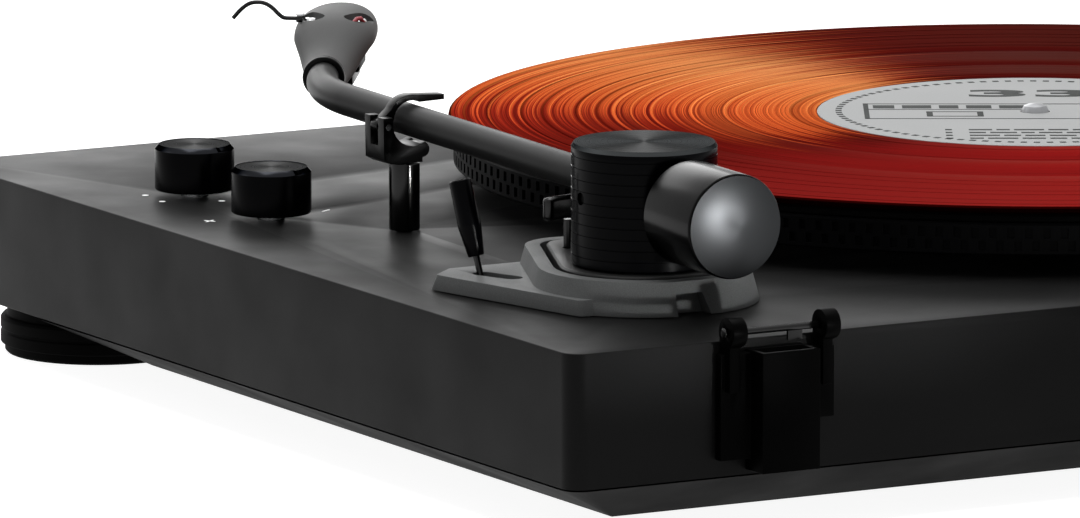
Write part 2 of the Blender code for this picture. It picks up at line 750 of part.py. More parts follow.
def build_cover():
    """The bottom cover, a tapered tray with round pockets for the front feet."""
    def ring(inset, height):
        radius = max(PLINTH_CORNER_RADIUS - inset / 2, WELD)
        return at_height(rounded_rectangle(PLINTH_WIDTH - 2 * inset, PLINTH_DEPTH - 2 * inset,
                                           radius), height)
    place = (0.0, PLINTH_Y, GROUND_GAP)
    slope = COVER_TAPER / COVER_HEIGHT
    cover = loft("bottom_cover", [ring(COVER_TAPER, 0.0), ring(0.0, COVER_HEIGHT)], place,
                 "moulding", smooth=False)
    wall = COVER_WALL + COVER_LIP
    inside = loft("cover_inside",
                  [ring(COVER_TAPER + wall, COVER_WALL),
                   ring(wall + COVER_WALL * slope - CUT_OVERRUN * slope,
                        COVER_HEIGHT + CUT_OVERRUN)],
                  place, smooth=False)
    for side in (-1, 1):
        x = side * (RIGHT_X - FRONT_FOOT_INSET_X)
        y = FRONT_Y + FRONT_FOOT_INSET_Y
        cut(inside, rod("pocket_wall", FOOT_POCKET_RADIUS + COVER_WALL, 4 * COVER_HEIGHT,
                        (x, y, COVER_TOP_Z)))
    cut(cover, inside)
    for side in (-1, 1):
        x = side * (RIGHT_X - FRONT_FOOT_INSET_X)
        y = FRONT_Y + FRONT_FOOT_INSET_Y
        cut(cover, rod("foot_pocket", FOOT_POCKET_RADIUS, 4 * COVER_HEIGHT, (x, y, COVER_TOP_Z),
                       steps=LARGE_STEPS))
        cut(cover, rod("peg_hole", FOOT_STUD_RADIUS + CLEARANCE, 4 * COVER_WALL,
                       (side * (RIGHT_X - REAR_FOOT_INSET_X), REAR_Y - REAR_FOOT_INSET_Y,
                        GROUND_GAP)))


def build_feet():
    """Two tall front feet in the pockets and two low rear feet under the cover."""
    neck_top = PLINTH_BOTTOM_Z - CLEARANCE
    front = [
        (0.0, neck_top + FOOT_STUD_LENGTH), (FOOT_STUD_RADIUS, neck_top + FOOT_STUD_LENGTH),
        (FOOT_STUD_RADIUS, neck_top), (FOOT_NECK_RADIUS, neck_top),
        (FOOT_NECK_RADIUS, FOOT_RIM_TOP + FOOT_FILLET),
        (FOOT_RIM_RADIUS - FOOT_FILLET, FOOT_RIM_TOP + FOOT_FILLET),
        (FOOT_RIM_RADIUS, FOOT_RIM_TOP), (FOOT_RIM_RADIUS, FOOT_BASE_HEIGHT),
        (FOOT_BASE_RADIUS, FOOT_BASE_HEIGHT), (FOOT_BASE_RADIUS, FOOT_FILLET),
        (FOOT_BASE_RADIUS - FOOT_FILLET, 0.0), (0.0, 0.0),
    ]
    low_top = GROUND_GAP - CLEARANCE
    rear = [
        (0.0, low_top + REAR_FOOT_PEG), (FOOT_STUD_RADIUS, low_top + REAR_FOOT_PEG),
        (FOOT_STUD_RADIUS, low_top), (REAR_FOOT_RADIUS, low_top),
        (REAR_FOOT_RADIUS, FOOT_FILLET), (REAR_FOOT_RADIUS - FOOT_FILLET, 0.0), (0.0, 0.0),
    ]
    for name, side in (("left", -1), ("right", 1)):
        turned("front_foot_" + name, front,
               (side * (RIGHT_X - FRONT_FOOT_INSET_X), FRONT_Y + FRONT_FOOT_INSET_Y, 0.0),
               "rubber")
        turned("rear_foot_" + name, rear,
               (side * (RIGHT_X - REAR_FOOT_INSET_X), REAR_Y - REAR_FOOT_INSET_Y, 0.0), "rubber")


def motor_place():
    """Where the motor's axis stands."""
    bearing = math.radians(MOTOR_BEARING_DEG)
    return (SPINDLE_X + MOTOR_DISTANCE * math.cos(bearing),
            SPINDLE_Y + MOTOR_DISTANCE * math.sin(bearing))


def build_platter():
    """Everything that turns on the spindle, and the bearing that it turns in."""
    axis = make_empty("platter_axis", (SPINDLE_X, SPINDLE_Y, DECK_Z))
    flange_top = CLEARANCE + BEARING_FLANGE_THICKNESS
    bore_bottom = -SPINDLE_DEPTH - CLEARANCE
    bearing = [
        (0.0, bore_bottom), (SPINDLE_RADIUS + HUB_FIT, bore_bottom),
        (SPINDLE_RADIUS + HUB_FIT, flange_top), (BEARING_FLANGE_RADIUS, flange_top),
        (BEARING_FLANGE_RADIUS, CLEARANCE), (BEARING_RADIUS, CLEARANCE),
        (BEARING_RADIUS, bore_bottom - BEARING_FLOOR), (0.0, bore_bottom - BEARING_FLOOR),
    ]
    turned("bearing_housing", bearing, (SPINDLE_X, SPINDLE_Y, DECK_Z), "brass")
    collar_bottom = flange_top + CLEARANCE
    collar_top = collar_bottom + SPINDLE_COLLAR_HEIGHT
    tip = RECORD_TOP + SPINDLE_PROUD
    spindle = [
        (0.0, tip), (SPINDLE_RADIUS - SPINDLE_CROWN, tip), (SPINDLE_RADIUS, tip - SPINDLE_CROWN),
        (SPINDLE_RADIUS, collar_top), (SPINDLE_COLLAR_RADIUS, collar_top),
        (SPINDLE_COLLAR_RADIUS, collar_bottom), (SPINDLE_RADIUS, collar_bottom),
        (SPINDLE_RADIUS, -SPINDLE_DEPTH), (0.0, -SPINDLE_DEPTH),
    ]
    turned("spindle", spindle, (0.0, 0.0, 0.0), "steel", axis)
    hub_bottom = collar_top + CLEARANCE
    drive_top = WEB_BOTTOM - CLEARANCE
    drive = [
        (BORE_RADIUS, drive_top), (DRIVE_RING_RADIUS, drive_top),
        (DRIVE_RING_RADIUS, DRIVE_RING_BOTTOM),
        (DRIVE_RING_RADIUS - DRIVE_RING_WALL, DRIVE_RING_BOTTOM),
        (DRIVE_RING_RADIUS - DRIVE_RING_WALL, drive_top - DRIVE_WEB),
        (DRIVE_HUB_RADIUS, drive_top - DRIVE_WEB), (DRIVE_HUB_RADIUS, hub_bottom),
        (BORE_RADIUS, hub_bottom),
    ]
    turned("sub_platter", drive, (0.0, 0.0, 0.0), "moulding", axis, LARGE_STEPS, loop=True)
    rim_inner = PLATTER_RADIUS - PLATTER_RIM_WALL
    platter = [
        (BORE_RADIUS, PLATTER_TOP), (PLATTER_RADIUS - PLATTER_EDGE_BREAK, PLATTER_TOP),
        (PLATTER_RADIUS, PLATTER_TOP - PLATTER_EDGE_BREAK),
        (PLATTER_RADIUS, PLATTER_BOTTOM + PLATTER_EDGE_BREAK),
        (PLATTER_RADIUS - PLATTER_EDGE_BREAK, PLATTER_BOTTOM), (rim_inner, PLATTER_BOTTOM),
        (rim_inner, WEB_BOTTOM), (BORE_RADIUS, WEB_BOTTOM),
    ]
    turned("platter", platter, (0.0, 0.0, 0.0), "anodised", axis, LARGE_STEPS, loop=True)
    mat = [
        (BORE_RADIUS, MAT_TOP), (MAT_RADIUS, MAT_TOP), (MAT_RADIUS, MAT_BOTTOM),
        (BORE_RADIUS, MAT_BOTTOM),
    ]
    turned("slip_mat", mat, (0.0, 0.0, 0.0), "rubber", axis, LARGE_STEPS, loop=True)
    record_axis = make_empty("record_axis", (0.0, 0.0, 0.0), parent=axis)
    recess = RECORD_TOP - LABEL_RECESS
    record = [
        (BORE_RADIUS, recess), (LABEL_RADIUS + CLEARANCE, recess),
        (LABEL_RADIUS + CLEARANCE, RECORD_TOP), (RECORD_RADIUS - RECORD_EDGE, RECORD_TOP),
        (RECORD_RADIUS, RECORD_TOP - RECORD_EDGE), (RECORD_RADIUS, RECORD_BOTTOM + RECORD_EDGE),
        (RECORD_RADIUS - RECORD_EDGE, RECORD_BOTTOM), (BORE_RADIUS, RECORD_BOTTOM),
    ]
    turned("record_disc", record, (0.0, 0.0, 0.0), "vinyl", record_axis, LARGE_STEPS, loop=True)
    label_bottom = recess + CLEARANCE
    label = [
        (BORE_RADIUS, label_bottom + LABEL_THICKNESS),
        (LABEL_RADIUS, label_bottom + LABEL_THICKNESS), (LABEL_RADIUS, label_bottom),
        (BORE_RADIUS, label_bottom),
    ]
    turned("record_label", label, (0.0, 0.0, 0.0), "paper", record_axis, LARGE_STEPS, loop=True)


def build_drive():
    """The motor under the deck, its pulley and the flat belt round the drive ring."""
    x, y = motor_place()
    grip_bottom = -DECK_THICKNESS - CLEARANCE - MOTOR_SHAFT_GRIP
    motor = rod("drive_motor", MOTOR_RADIUS, MOTOR_HEIGHT,
                (x, y, UNDER_DECK_Z - MOTOR_HEIGHT / 2), finish="steel")
    cut(motor, rod("motor_bore", MOTOR_SHAFT_RADIUS + CLEARANCE,
                   2 * (MOTOR_SHAFT_GRIP + CLEARANCE), (x, y, UNDER_DECK_Z)))
    axis = make_empty("motor_axis", (x, y, DECK_Z))
    low = BELT_BOTTOM - CLEARANCE
    high = BELT_BOTTOM + BELT_WIDTH + CLEARANCE
    flange = PULLEY_RADIUS + PULLEY_FLANGE
    pulley = [
        (0.0, high + PULLEY_FLANGE_THICKNESS), (flange, high + PULLEY_FLANGE_THICKNESS),
        (flange, high), (PULLEY_RADIUS, high), (PULLEY_RADIUS, low), (flange, low),
        (flange, low - PULLEY_FLANGE_THICKNESS),
        (MOTOR_SHAFT_RADIUS, low - PULLEY_FLANGE_THICKNESS), (MOTOR_SHAFT_RADIUS, grip_bottom),
        (0.0, grip_bottom),
    ]
    turned("motor_pulley", pulley, (0.0, 0.0, 0.0), "brass", axis)
    span = math.radians(MOTOR_BEARING_DEG)

    def belt_loop(extra):
        ring = DRIVE_RING_RADIUS + extra
        small = PULLEY_RADIUS + extra
        lean = math.acos((DRIVE_RING_RADIUS - PULLEY_RADIUS) / MOTOR_DISTANCE)
        far = (MOTOR_DISTANCE * math.cos(span), MOTOR_DISTANCE * math.sin(span))
        around = arc((0.0, 0.0), ring, span + lean, span + 2 * math.pi - lean, LARGE_STEPS)
        return around + arc(far, small, span - lean, span + lean, CORNER_STEPS)

    plate("drive_belt", [belt_loop(CLEARANCE + BELT_THICKNESS), belt_loop(CLEARANCE)],
          BELT_WIDTH, (SPINDLE_X, SPINDLE_Y, DECK_Z + BELT_BOTTOM + BELT_WIDTH / 2), "rubber")


def build_knob(name, inset_y, body_name):
    """One knob, the shaft that it turns, and the control under the deck."""
    x = RIGHT_X - KNOB_INSET_X
    y = REAR_Y - inset_y
    axis = make_empty(name + "_axis", (x, y, DECK_Z))
    top = KNOB_STANDOFF + KNOB_HEIGHT
    bore = KNOB_SHAFT_RADIUS + CLEARANCE
    grip = KNOB_STANDOFF + KNOB_SHAFT_GRIP
    profile = [
        (0.0, top), (KNOB_RADIUS - KNOB_CHAMFER, top), (KNOB_RADIUS, top - KNOB_CHAMFER),
        (KNOB_RADIUS, KNOB_STANDOFF), (bore, KNOB_STANDOFF), (bore, grip), (0.0, grip),
    ]
    knob = turned(name + "_knob", profile, (0.0, 0.0, 0.0), "anodised", axis)
    pointer = math.radians(KNOB_POINTER_DEG)
    reach = KNOB_RADIUS - KNOB_CHAMFER / 2
    cut(knob, box(name + "_notch",
                  (KNOB_CHAMFER + 2 * KNOB_NOTCH_DEPTH, KNOB_NOTCH_WIDTH, 2 * KNOB_NOTCH_DEPTH),
                  (reach * math.cos(pointer), reach * math.sin(pointer), top), parent=axis,
                  turn=(0.0, 0.0, pointer)))
    turned(name + "_shaft",
           [(0.0, grip - CLEARANCE), (KNOB_SHAFT_RADIUS, grip - CLEARANCE),
            (KNOB_SHAFT_RADIUS, -KNOB_SHAFT_DEPTH), (0.0, -KNOB_SHAFT_DEPTH)],
           (0.0, 0.0, 0.0), "steel", axis)
    body = box(body_name, (SWITCH_SIZE, SWITCH_SIZE, SWITCH_HEIGHT),
               (x, y, UNDER_DECK_Z - SWITCH_HEIGHT / 2), "moulding")
    socket = KNOB_SHAFT_DEPTH - DECK_THICKNESS
    cut(body, rod(body_name + "_socket", bore, 2 * socket, (x, y, UNDER_DECK_Z)))


def cue_pin_place():
    """Where the cue lift's pin stands."""
    angle = math.radians(CUE_PIN_ANGLE_DEG)
    return (PIVOT_X + CUE_ARC_RADIUS * math.sin(angle), PIVOT_Y - CUE_ARC_RADIUS * math.cos(angle))


def lever_place():
    """Where the middle of the cue lever's slot is."""
    return (RIGHT_X - LEVER_INSET_X, REAR_Y - LEVER_INSET_Y)


def lever_turn():
    """How far the cue lever's slot is turned from front to rear."""
    return math.radians(LEVER_SLOT_TURN_DEG)


def slot_outline(length, width):
    """A slot along Y with round ends."""
    half = length / 2 - width / 2
    return (arc((0.0, half), width / 2, 0.0, math.pi, CORNER_STEPS)
            + arc((0.0, -half), width / 2, math.pi, 2 * math.pi, CORNER_STEPS))


def build_arm_base():
    """The moulded base, the plate let into it and the fixed bearing post."""
    place = (PIVOT_X, PIVOT_Y, DECK_Z)
    base = loft("arm_base", [at_height(teardrop(0.0), CLEARANCE),
                             at_height(teardrop(BASE_TAPER), BASE_HEIGHT)],
                place, "satin")
    corners = [
        (PLATFORM_TIP_X, -PLATFORM_TIP_Y), (PLATFORM_REAR_X, PLATFORM_REAR_Y),
        (0.0, PLATFORM_REAR_Y), (0.0, -PLATFORM_FRONT_Y), (PLATFORM_FRONT_X, -PLATFORM_FRONT_Y),
    ]
    foot = rounded_corners(corners, PLATFORM_ROUND)
    middle = Vector((PLATFORM_FRONT_X / 2, -PLATFORM_FRONT_Y / 2))
    top = []
    for point in foot:
        outward = Vector(point) - middle
        top.append(tuple(Vector(point) - outward.normalized() * PLATFORM_TAPER))
    step = loft("lever_platform", [at_height(foot, CLEARANCE), at_height(top, PLATFORM_HEIGHT)],
                place, smooth=False)
    join(base, step)
    pocket_height = BASE_HEIGHT
    pocket = plate("base_pocket", [teardrop(BASE_TAPER + BASE_RIM)], pocket_height,
                   (PIVOT_X, PIVOT_Y, DECK_Z + BASE_FLOOR + pocket_height / 2))
    slot = plate("lever_slot", [slot_outline(LEVER_SLOT_LENGTH, LEVER_SLOT_WIDTH)],
                 4 * PLATFORM_HEIGHT, (*lever_place(), DECK_Z), turn=(0.0, 0.0, lever_turn()))
    post_hole = rod("base_post_hole", BEARING_POST_RADIUS + CLEARANCE, 4 * BASE_HEIGHT, place)
    pin_hole = rod("base_pin_hole", CUE_CYLINDER_RADIUS + CLEARANCE, 2 * BASE_HEIGHT,
                   (*cue_pin_place(), DECK_Z))
    cut(base, pocket, slot, post_hole, pin_hole, base_notch(place))
    plate_top = BASE_HEIGHT + PLATE_PROUD
    plate_bottom = BASE_FLOOR + CLEARANCE
    inset = BASE_TAPER + BASE_RIM + PLATE_GAP
    pivot_plate = loft("pivot_plate",
                       [at_height(teardrop(inset), plate_bottom),
                        at_height(teardrop(inset), plate_top - PLATE_EDGE),
                        at_height(teardrop(inset + PLATE_EDGE), plate_top)], place, "satin")
    cut(pivot_plate,
        rod("plate_post_hole", BEARING_POST_RADIUS + CLEARANCE, 4 * BASE_HEIGHT, place),
        rod("plate_pin_hole", CUE_PIN_RADIUS + CUE_PIN_FIT, 4 * BASE_HEIGHT,
            (*cue_pin_place(), DECK_Z), steps=ARC_STEPS))
    post_top = PIVOT_HEIGHT - ARM_SLOT_BELOW - HOUSING_CEILING - CLEARANCE
    under = -DECK_THICKNESS - CLEARANCE
    post = [
        (0.0, post_top), (BEARING_POST_RADIUS, post_top), (BEARING_POST_RADIUS, under),
        (BEARING_POST_FLANGE, under), (BEARING_POST_FLANGE, under - BEARING_POST_FLANGE_THICKNESS),
        (BEARING_POST_RADIUS, under - BEARING_POST_FLANGE_THICKNESS),
        (BEARING_POST_RADIUS, -BEARING_POST_DEPTH), (0.0, -BEARING_POST_DEPTH),
    ]
    turned("bearing_post", post, place, "steel")


def base_notch(place):
    """The trapezoid notch in the rear of the base, seen from behind."""
    foot = NOTCH_FOOT_WIDTH / 2
    top = NOTCH_TOP_WIDTH / 2
    outline = [(-foot, -CUT_OVERRUN), (foot, -CUT_OVERRUN), (foot, CLEARANCE),
               (top, NOTCH_HEIGHT), (-foot, NOTCH_HEIGHT)]
    thickness = 2 * NOTCH_DEPTH
    rear = place[1] + BASE_REAR_FLAT
    return plate("rear_notch", [[(-across, height) for across, height in outline]], thickness,
                 (place[0] + NOTCH_CENTRE_X, rear, place[2]), turn=(math.pi / 2, 0.0, 0.0))


def build_housing():
    """The drum that swings on the bearing post, and the two pointed screws that hold the arm."""
    axis = make_empty("swing_axis", (PIVOT_X, PIVOT_Y, DECK_Z))
    top = HOUSING_BOTTOM + HOUSING_HEIGHT
    bore = BEARING_POST_RADIUS + CLEARANCE
    ceiling = PIVOT_HEIGHT - ARM_SLOT_BELOW - HOUSING_CEILING
    profile = [
        (0.0, top), (HOUSING_RADIUS - HOUSING_CHAMFER, top),
        (HOUSING_RADIUS, top - HOUSING_CHAMFER_DROP), (HOUSING_RADIUS, HOUSING_BOTTOM),
        (bore, HOUSING_BOTTOM), (bore, ceiling), (0.0, ceiling),
    ]
    housing = turned("pivot_housing", profile, (0.0, 0.0, 0.0), "anodised", axis,
                     steps=LARGE_STEPS // 2)
    slot_height = ARM_SLOT_BELOW + ARM_SLOT_ABOVE
    slot_centre = PIVOT_HEIGHT + (ARM_SLOT_ABOVE - ARM_SLOT_BELOW) / 2
    cut(housing, box("arm_slot", (ARM_SLOT_WIDTH, 3 * HOUSING_RADIUS, slot_height),
                     (0.0, 0.0, slot_centre), parent=axis),
        rod("screw_holes", PIVOT_SCREW_RADIUS + CLEARANCE, 3 * HOUSING_RADIUS,
            (0.0, 0.0, PIVOT_HEIGHT), "X", parent=axis, steps=ARC_STEPS))
    inner = TUBE_RADIUS + CLEARANCE
    outer = HOUSING_RADIUS - PIVOT_SCREW_RECESS
    for name, side in (("left", -1), ("right", 1)):
        rod("pivot_screw_" + name, PIVOT_SCREW_RADIUS, outer - inner,
            (side * (outer + inner) / 2, 0.0, PIVOT_HEIGHT), "X", "steel", axis,
            steps=ARC_STEPS)


def tube_path():
    """The arm tube's middle line, forwards from its rear end, as seen from above."""
    points = [(0.0, TUBE_REAR, 0.0), (0.0, 0.0, 0.0)]
    for step in range(ARC_STEPS + 1):
        angle = BEND * step / ARC_STEPS
        points.append((-TUBE_BEND_RADIUS * (1 - math.cos(angle)),
                       -TUBE_STRAIGHT - TUBE_BEND_RADIUS * math.sin(angle), 0.0))
    end = points[-1]
    points.append((end[0] - TUBE_SPIGOT * math.sin(BEND), end[1] - TUBE_SPIGOT * math.cos(BEND),
                   0.0))
    return points, end


def stretched(points, extra):
    """A path with both ends drawn out along themselves."""
    first, second = Vector(points[0]), Vector(points[1])
    last, before = Vector(points[-1]), Vector(points[-2])
    start = first + (first - second).normalized() * extra
    end = last + (last - before).normalized() * extra
    return [tuple(start)] + [tuple(point) for point in points[1:-1]] + [tuple(end)]


def build_arm():
    """The arm: tube, counterweight, collar, headshell, cartridge and finger lift."""
    axis = make_empty("arm_axis", (PIVOT_X, PIVOT_Y, PIVOT_Z), (-ARM_REST_TILT, 0.0, 0.0))
    path, bend_end = tube_path()
    arm = tube("arm_tube", path, TUBE_RADIUS, finish="moulding", parent=axis, rounds=6)
    cut(arm, tube("tube_bore", stretched(path, CUT_OVERRUN), TUBE_RADIUS - TUBE_WALL,
                  parent=axis, rounds=3))
    build_counterweight(axis)
    shell = make_empty("shell_axis", bend_end, (0.0, 0.0, -BEND), axis)
    turned("arm_collar",
           [(TUBE_RADIUS + CLEARANCE, 0.0), (COLLAR_RADIUS, 0.0),
            (COLLAR_RADIUS, -COLLAR_THICKNESS), (TUBE_RADIUS + CLEARANCE, -COLLAR_THICKNESS)],
           (0.0, 0.0, 0.0), "gloss", shell, loop=True, turn=FACE_REAR)
    build_headshell(shell)
    build_cartridge(shell)


def build_counterweight(arm_axis):
    """The weight on its stub behind the pivot, which slides to balance the arm."""
    rod("weight_shaft", WEIGHT_SHAFT_RADIUS, WEIGHT_SHAFT_END - WEIGHT_SHAFT_START,
        (0.0, (WEIGHT_SHAFT_END + WEIGHT_SHAFT_START) / 2, 0.0), "Y", "steel", arm_axis,
        steps=ROUND_STEPS // 2)
    axis = make_empty("weight_axis", (0.0, WEIGHT_START, -WEIGHT_DROP), (math.pi / 2, 0.0, 0.0),
                      arm_axis)
    weight = turned("counterweight",
                    [(0.0, 0.0), (WEIGHT_RADIUS - WEIGHT_EDGE, 0.0),
                     (WEIGHT_RADIUS, -WEIGHT_EDGE), (WEIGHT_RADIUS, -WEIGHT_LENGTH),
                     (0.0, -WEIGHT_LENGTH)],
                    (0.0, 0.0, 0.0), "gloss", axis)
    bore_depth = WEIGHT_LENGTH - WEIGHT_BORE_FLOOR
    cut(weight, rod("weight_bore", WEIGHT_SHAFT_RADIUS + CLEARANCE, 2 * bore_depth,
                    (0.0, WEIGHT_DROP, 0.0), parent=axis, steps=ROUND_STEPS // 2))
    start = -WEIGHT_LENGTH - CLEARANCE
    edge = WEIGHT_RADIUS - WEIGHT_CAP_EDGE
    dome = [(0.0, start), (edge, start)]
    for step in range(1, CORNER_STEPS + 1):
        share = step / CORNER_STEPS
        dome.append((edge * math.cos(share * math.pi / 2),
                     start - WEIGHT_CAP_THICKNESS * (0.35 + 0.65 * math.sin(share * math.pi / 2))))
    dome[-1] = (0.0, dome[-1][1])
    turned("counterweight_cap", dome, (0.0, 0.0, 0.0), "steel", axis)


def shell_section(share):
    """One cross-section of the headshell, a squared oval, at a number in the section tables."""
    half_width = SHELL_HALF_WIDTH * SECTION_WIDTH_SHARES[share]
    top = SHELL_TOP * SECTION_TOP_SHARES[share]
    bottom = SHELL_TOP * SECTION_BOTTOM_SHARES[share]
    waist = SHELL_TOP * SECTION_WAIST_SHARES[share]
    along = SHELL_LENGTH * SECTION_LENGTH_SHARES[share] + COLLAR_THICKNESS + CLEARANCE
    power = 2 / SECTION_SQUARENESS[share]
    ring = []
    for index in range(SHELL_RING_POINTS):
        angle = 2 * math.pi * index / SHELL_RING_POINTS
        cosine, sine = math.cos(angle), math.sin(angle)
        across = half_width * math.copysign(abs(cosine) ** power, cosine)
        height = top - waist if sine > 0 else waist - bottom
        ring.append((across, -along, waist + height * math.copysign(abs(sine) ** power, sine)))
    return ring


def build_headshell(axis):
    """The hooded headshell and its finger lift."""
    rings = [shell_section(index) for index in range(len(SECTION_LENGTH_SHARES))]
    shell = loft("headshell", rings, (0.0, 0.0, 0.0), "moulding", axis)
    roof = SHELL_TOP - SHELL_ROOF
    pocket_length = SHELL_POCKET_END - SHELL_POCKET_START
    pocket_width = 2 * SHELL_POCKET_HALF_WIDTH
    pocket_height = SHELL_TOP + roof
    cut(shell, box("shell_pocket", (pocket_width, pocket_length, pocket_height),
                   (0.0, -(SHELL_POCKET_START + SHELL_POCKET_END) / 2, roof - pocket_height / 2),
                   parent=axis))
    for side in (-1, 1):
        cut(shell, plate("screw_slot", [slot_outline(SHELL_SLOT_LENGTH, SHELL_SLOT_WIDTH)],
                         3 * SHELL_ROOF,
                         (side * SHELL_SLOT_PITCH, -SHELL_SLOT_CENTRE, roof + SHELL_ROOF),
                         parent=axis,
                         turn=(0.0, 0.0, side * math.radians(SHELL_SLOT_TURN_DEG))))
    spigot = TUBE_SPIGOT + CLEARANCE
    cut(shell, rod("neck_bore", TUBE_RADIUS + CLEARANCE, 2 * spigot, (0.0, 0.0, 0.0), "Y",
                   parent=axis, steps=ROUND_STEPS))
    lug_bottom = roof + CLEARANCE
    lug_middle = LIFT_LUG_START + LIFT_LUG_WIDTH / 2
    cut(shell, box("lug_notch",
                   (SHELL_HALF_WIDTH, LIFT_LUG_WIDTH + 2 * CLEARANCE, 2 * SHELL_ROOF),
                   (SHELL_SLOT_PITCH + SHELL_HALF_WIDTH / 2, -lug_middle, roof + SHELL_ROOF),
                   parent=axis))
    lug = box("finger_lift", (LIFT_LUG_OUTER - LIFT_LUG_INNER, LIFT_LUG_WIDTH, LIFT_LUG_THICKNESS),
              ((LIFT_LUG_OUTER + LIFT_LUG_INNER) / 2, -lug_middle,
               lug_bottom + LIFT_LUG_THICKNESS / 2), "gloss", axis)
    start = LIFT_LUG_OUTER - 2 * LIFT_WIRE_RADIUS
    reach = LIFT_WIRE_REACH - start
    path = [(start + reach * along, -lug_middle,
             lug_bottom + LIFT_LUG_THICKNESS / 2 + LIFT_WIRE_RISE * rise)
            for along, rise in LIFT_WIRE_SHARES]
    join(lug, tube("lift_wire", path, LIFT_WIRE_RADIUS, parent=axis, rounds=2))


def build_cartridge(axis):
    """The cartridge, the stylus holder under it and the two screws that hold it."""
    top = SHELL_TOP - SHELL_ROOF - CLEARANCE
    middle = CARTRIDGE_START + CARTRIDGE_LENGTH / 2
    cartridge = box("cartridge", (2 * CARTRIDGE_HALF_WIDTH, CARTRIDGE_LENGTH, CARTRIDGE_HEIGHT),
                    (0.0, -middle, top - CARTRIDGE_HEIGHT / 2), "moulding", axis, CARTRIDGE_EDGE)
    holder_top = top - CARTRIDGE_HEIGHT - CLEARANCE
    holder_middle = STYLUS_HOLDER_START + STYLUS_HOLDER_LENGTH / 2
    holder = box("stylus_holder",
                 (2 * STYLUS_HOLDER_HALF_WIDTH, STYLUS_HOLDER_LENGTH, STYLUS_HOLDER_HEIGHT),
                 (0.0, -holder_middle, holder_top - STYLUS_HOLDER_HEIGHT / 2), "gloss", axis,
                 STYLUS_HOLDER_EDGE)
    holder_bottom = holder_top - STYLUS_HOLDER_HEIGHT
    tip = turned("stylus_tip",
                 [(0.0, STYLUS_LENGTH), (STYLUS_RADIUS, STYLUS_LENGTH),
                  (STYLUS_RADIUS / 4, -STYLUS_LENGTH), (0.0, -STYLUS_LENGTH)],
                 (0.0, -STYLUS_REACH, holder_bottom), parent=axis, steps=ARC_STEPS)
    join(holder, tip)
    head_bottom = top + CLEARANCE
    for name, side in (("left", -1), ("right", 1)):
        x = side * SHELL_SLOT_PITCH
        cut(cartridge, rod("cartridge_hole", CARTRIDGE_SCREW_RADIUS + CLEARANCE,
                           2 * (CARTRIDGE_SCREW_LENGTH + CLEARANCE), (x, -SHELL_SLOT_CENTRE, top),
                           parent=axis, steps=ARC_STEPS))
        turned("cartridge_screw_" + name,
               [(0.0, CARTRIDGE_SCREW_HEAD_HEIGHT),
                (CARTRIDGE_SCREW_HEAD_RADIUS, CARTRIDGE_SCREW_HEAD_HEIGHT),
                (CARTRIDGE_SCREW_HEAD_RADIUS, 0.0), (CARTRIDGE_SCREW_RADIUS, 0.0),
                (CARTRIDGE_SCREW_RADIUS, -CARTRIDGE_SCREW_LENGTH),
                (0.0, -CARTRIDGE_SCREW_LENGTH)],
               (x, -SHELL_SLOT_CENTRE, head_bottom), "steel", axis, steps=ARC_STEPS)


def rest_centre():
    """The arm tube's middle where it lies over the rest."""
    ahead = HEAD_NEAR_INSET_Y - PIVOT_INSET_Y + HEAD_PLATE + HEAD_GAP / 2
    return (PIVOT_X, PIVOT_Z + ahead * math.tan(ARM_REST_TILT))


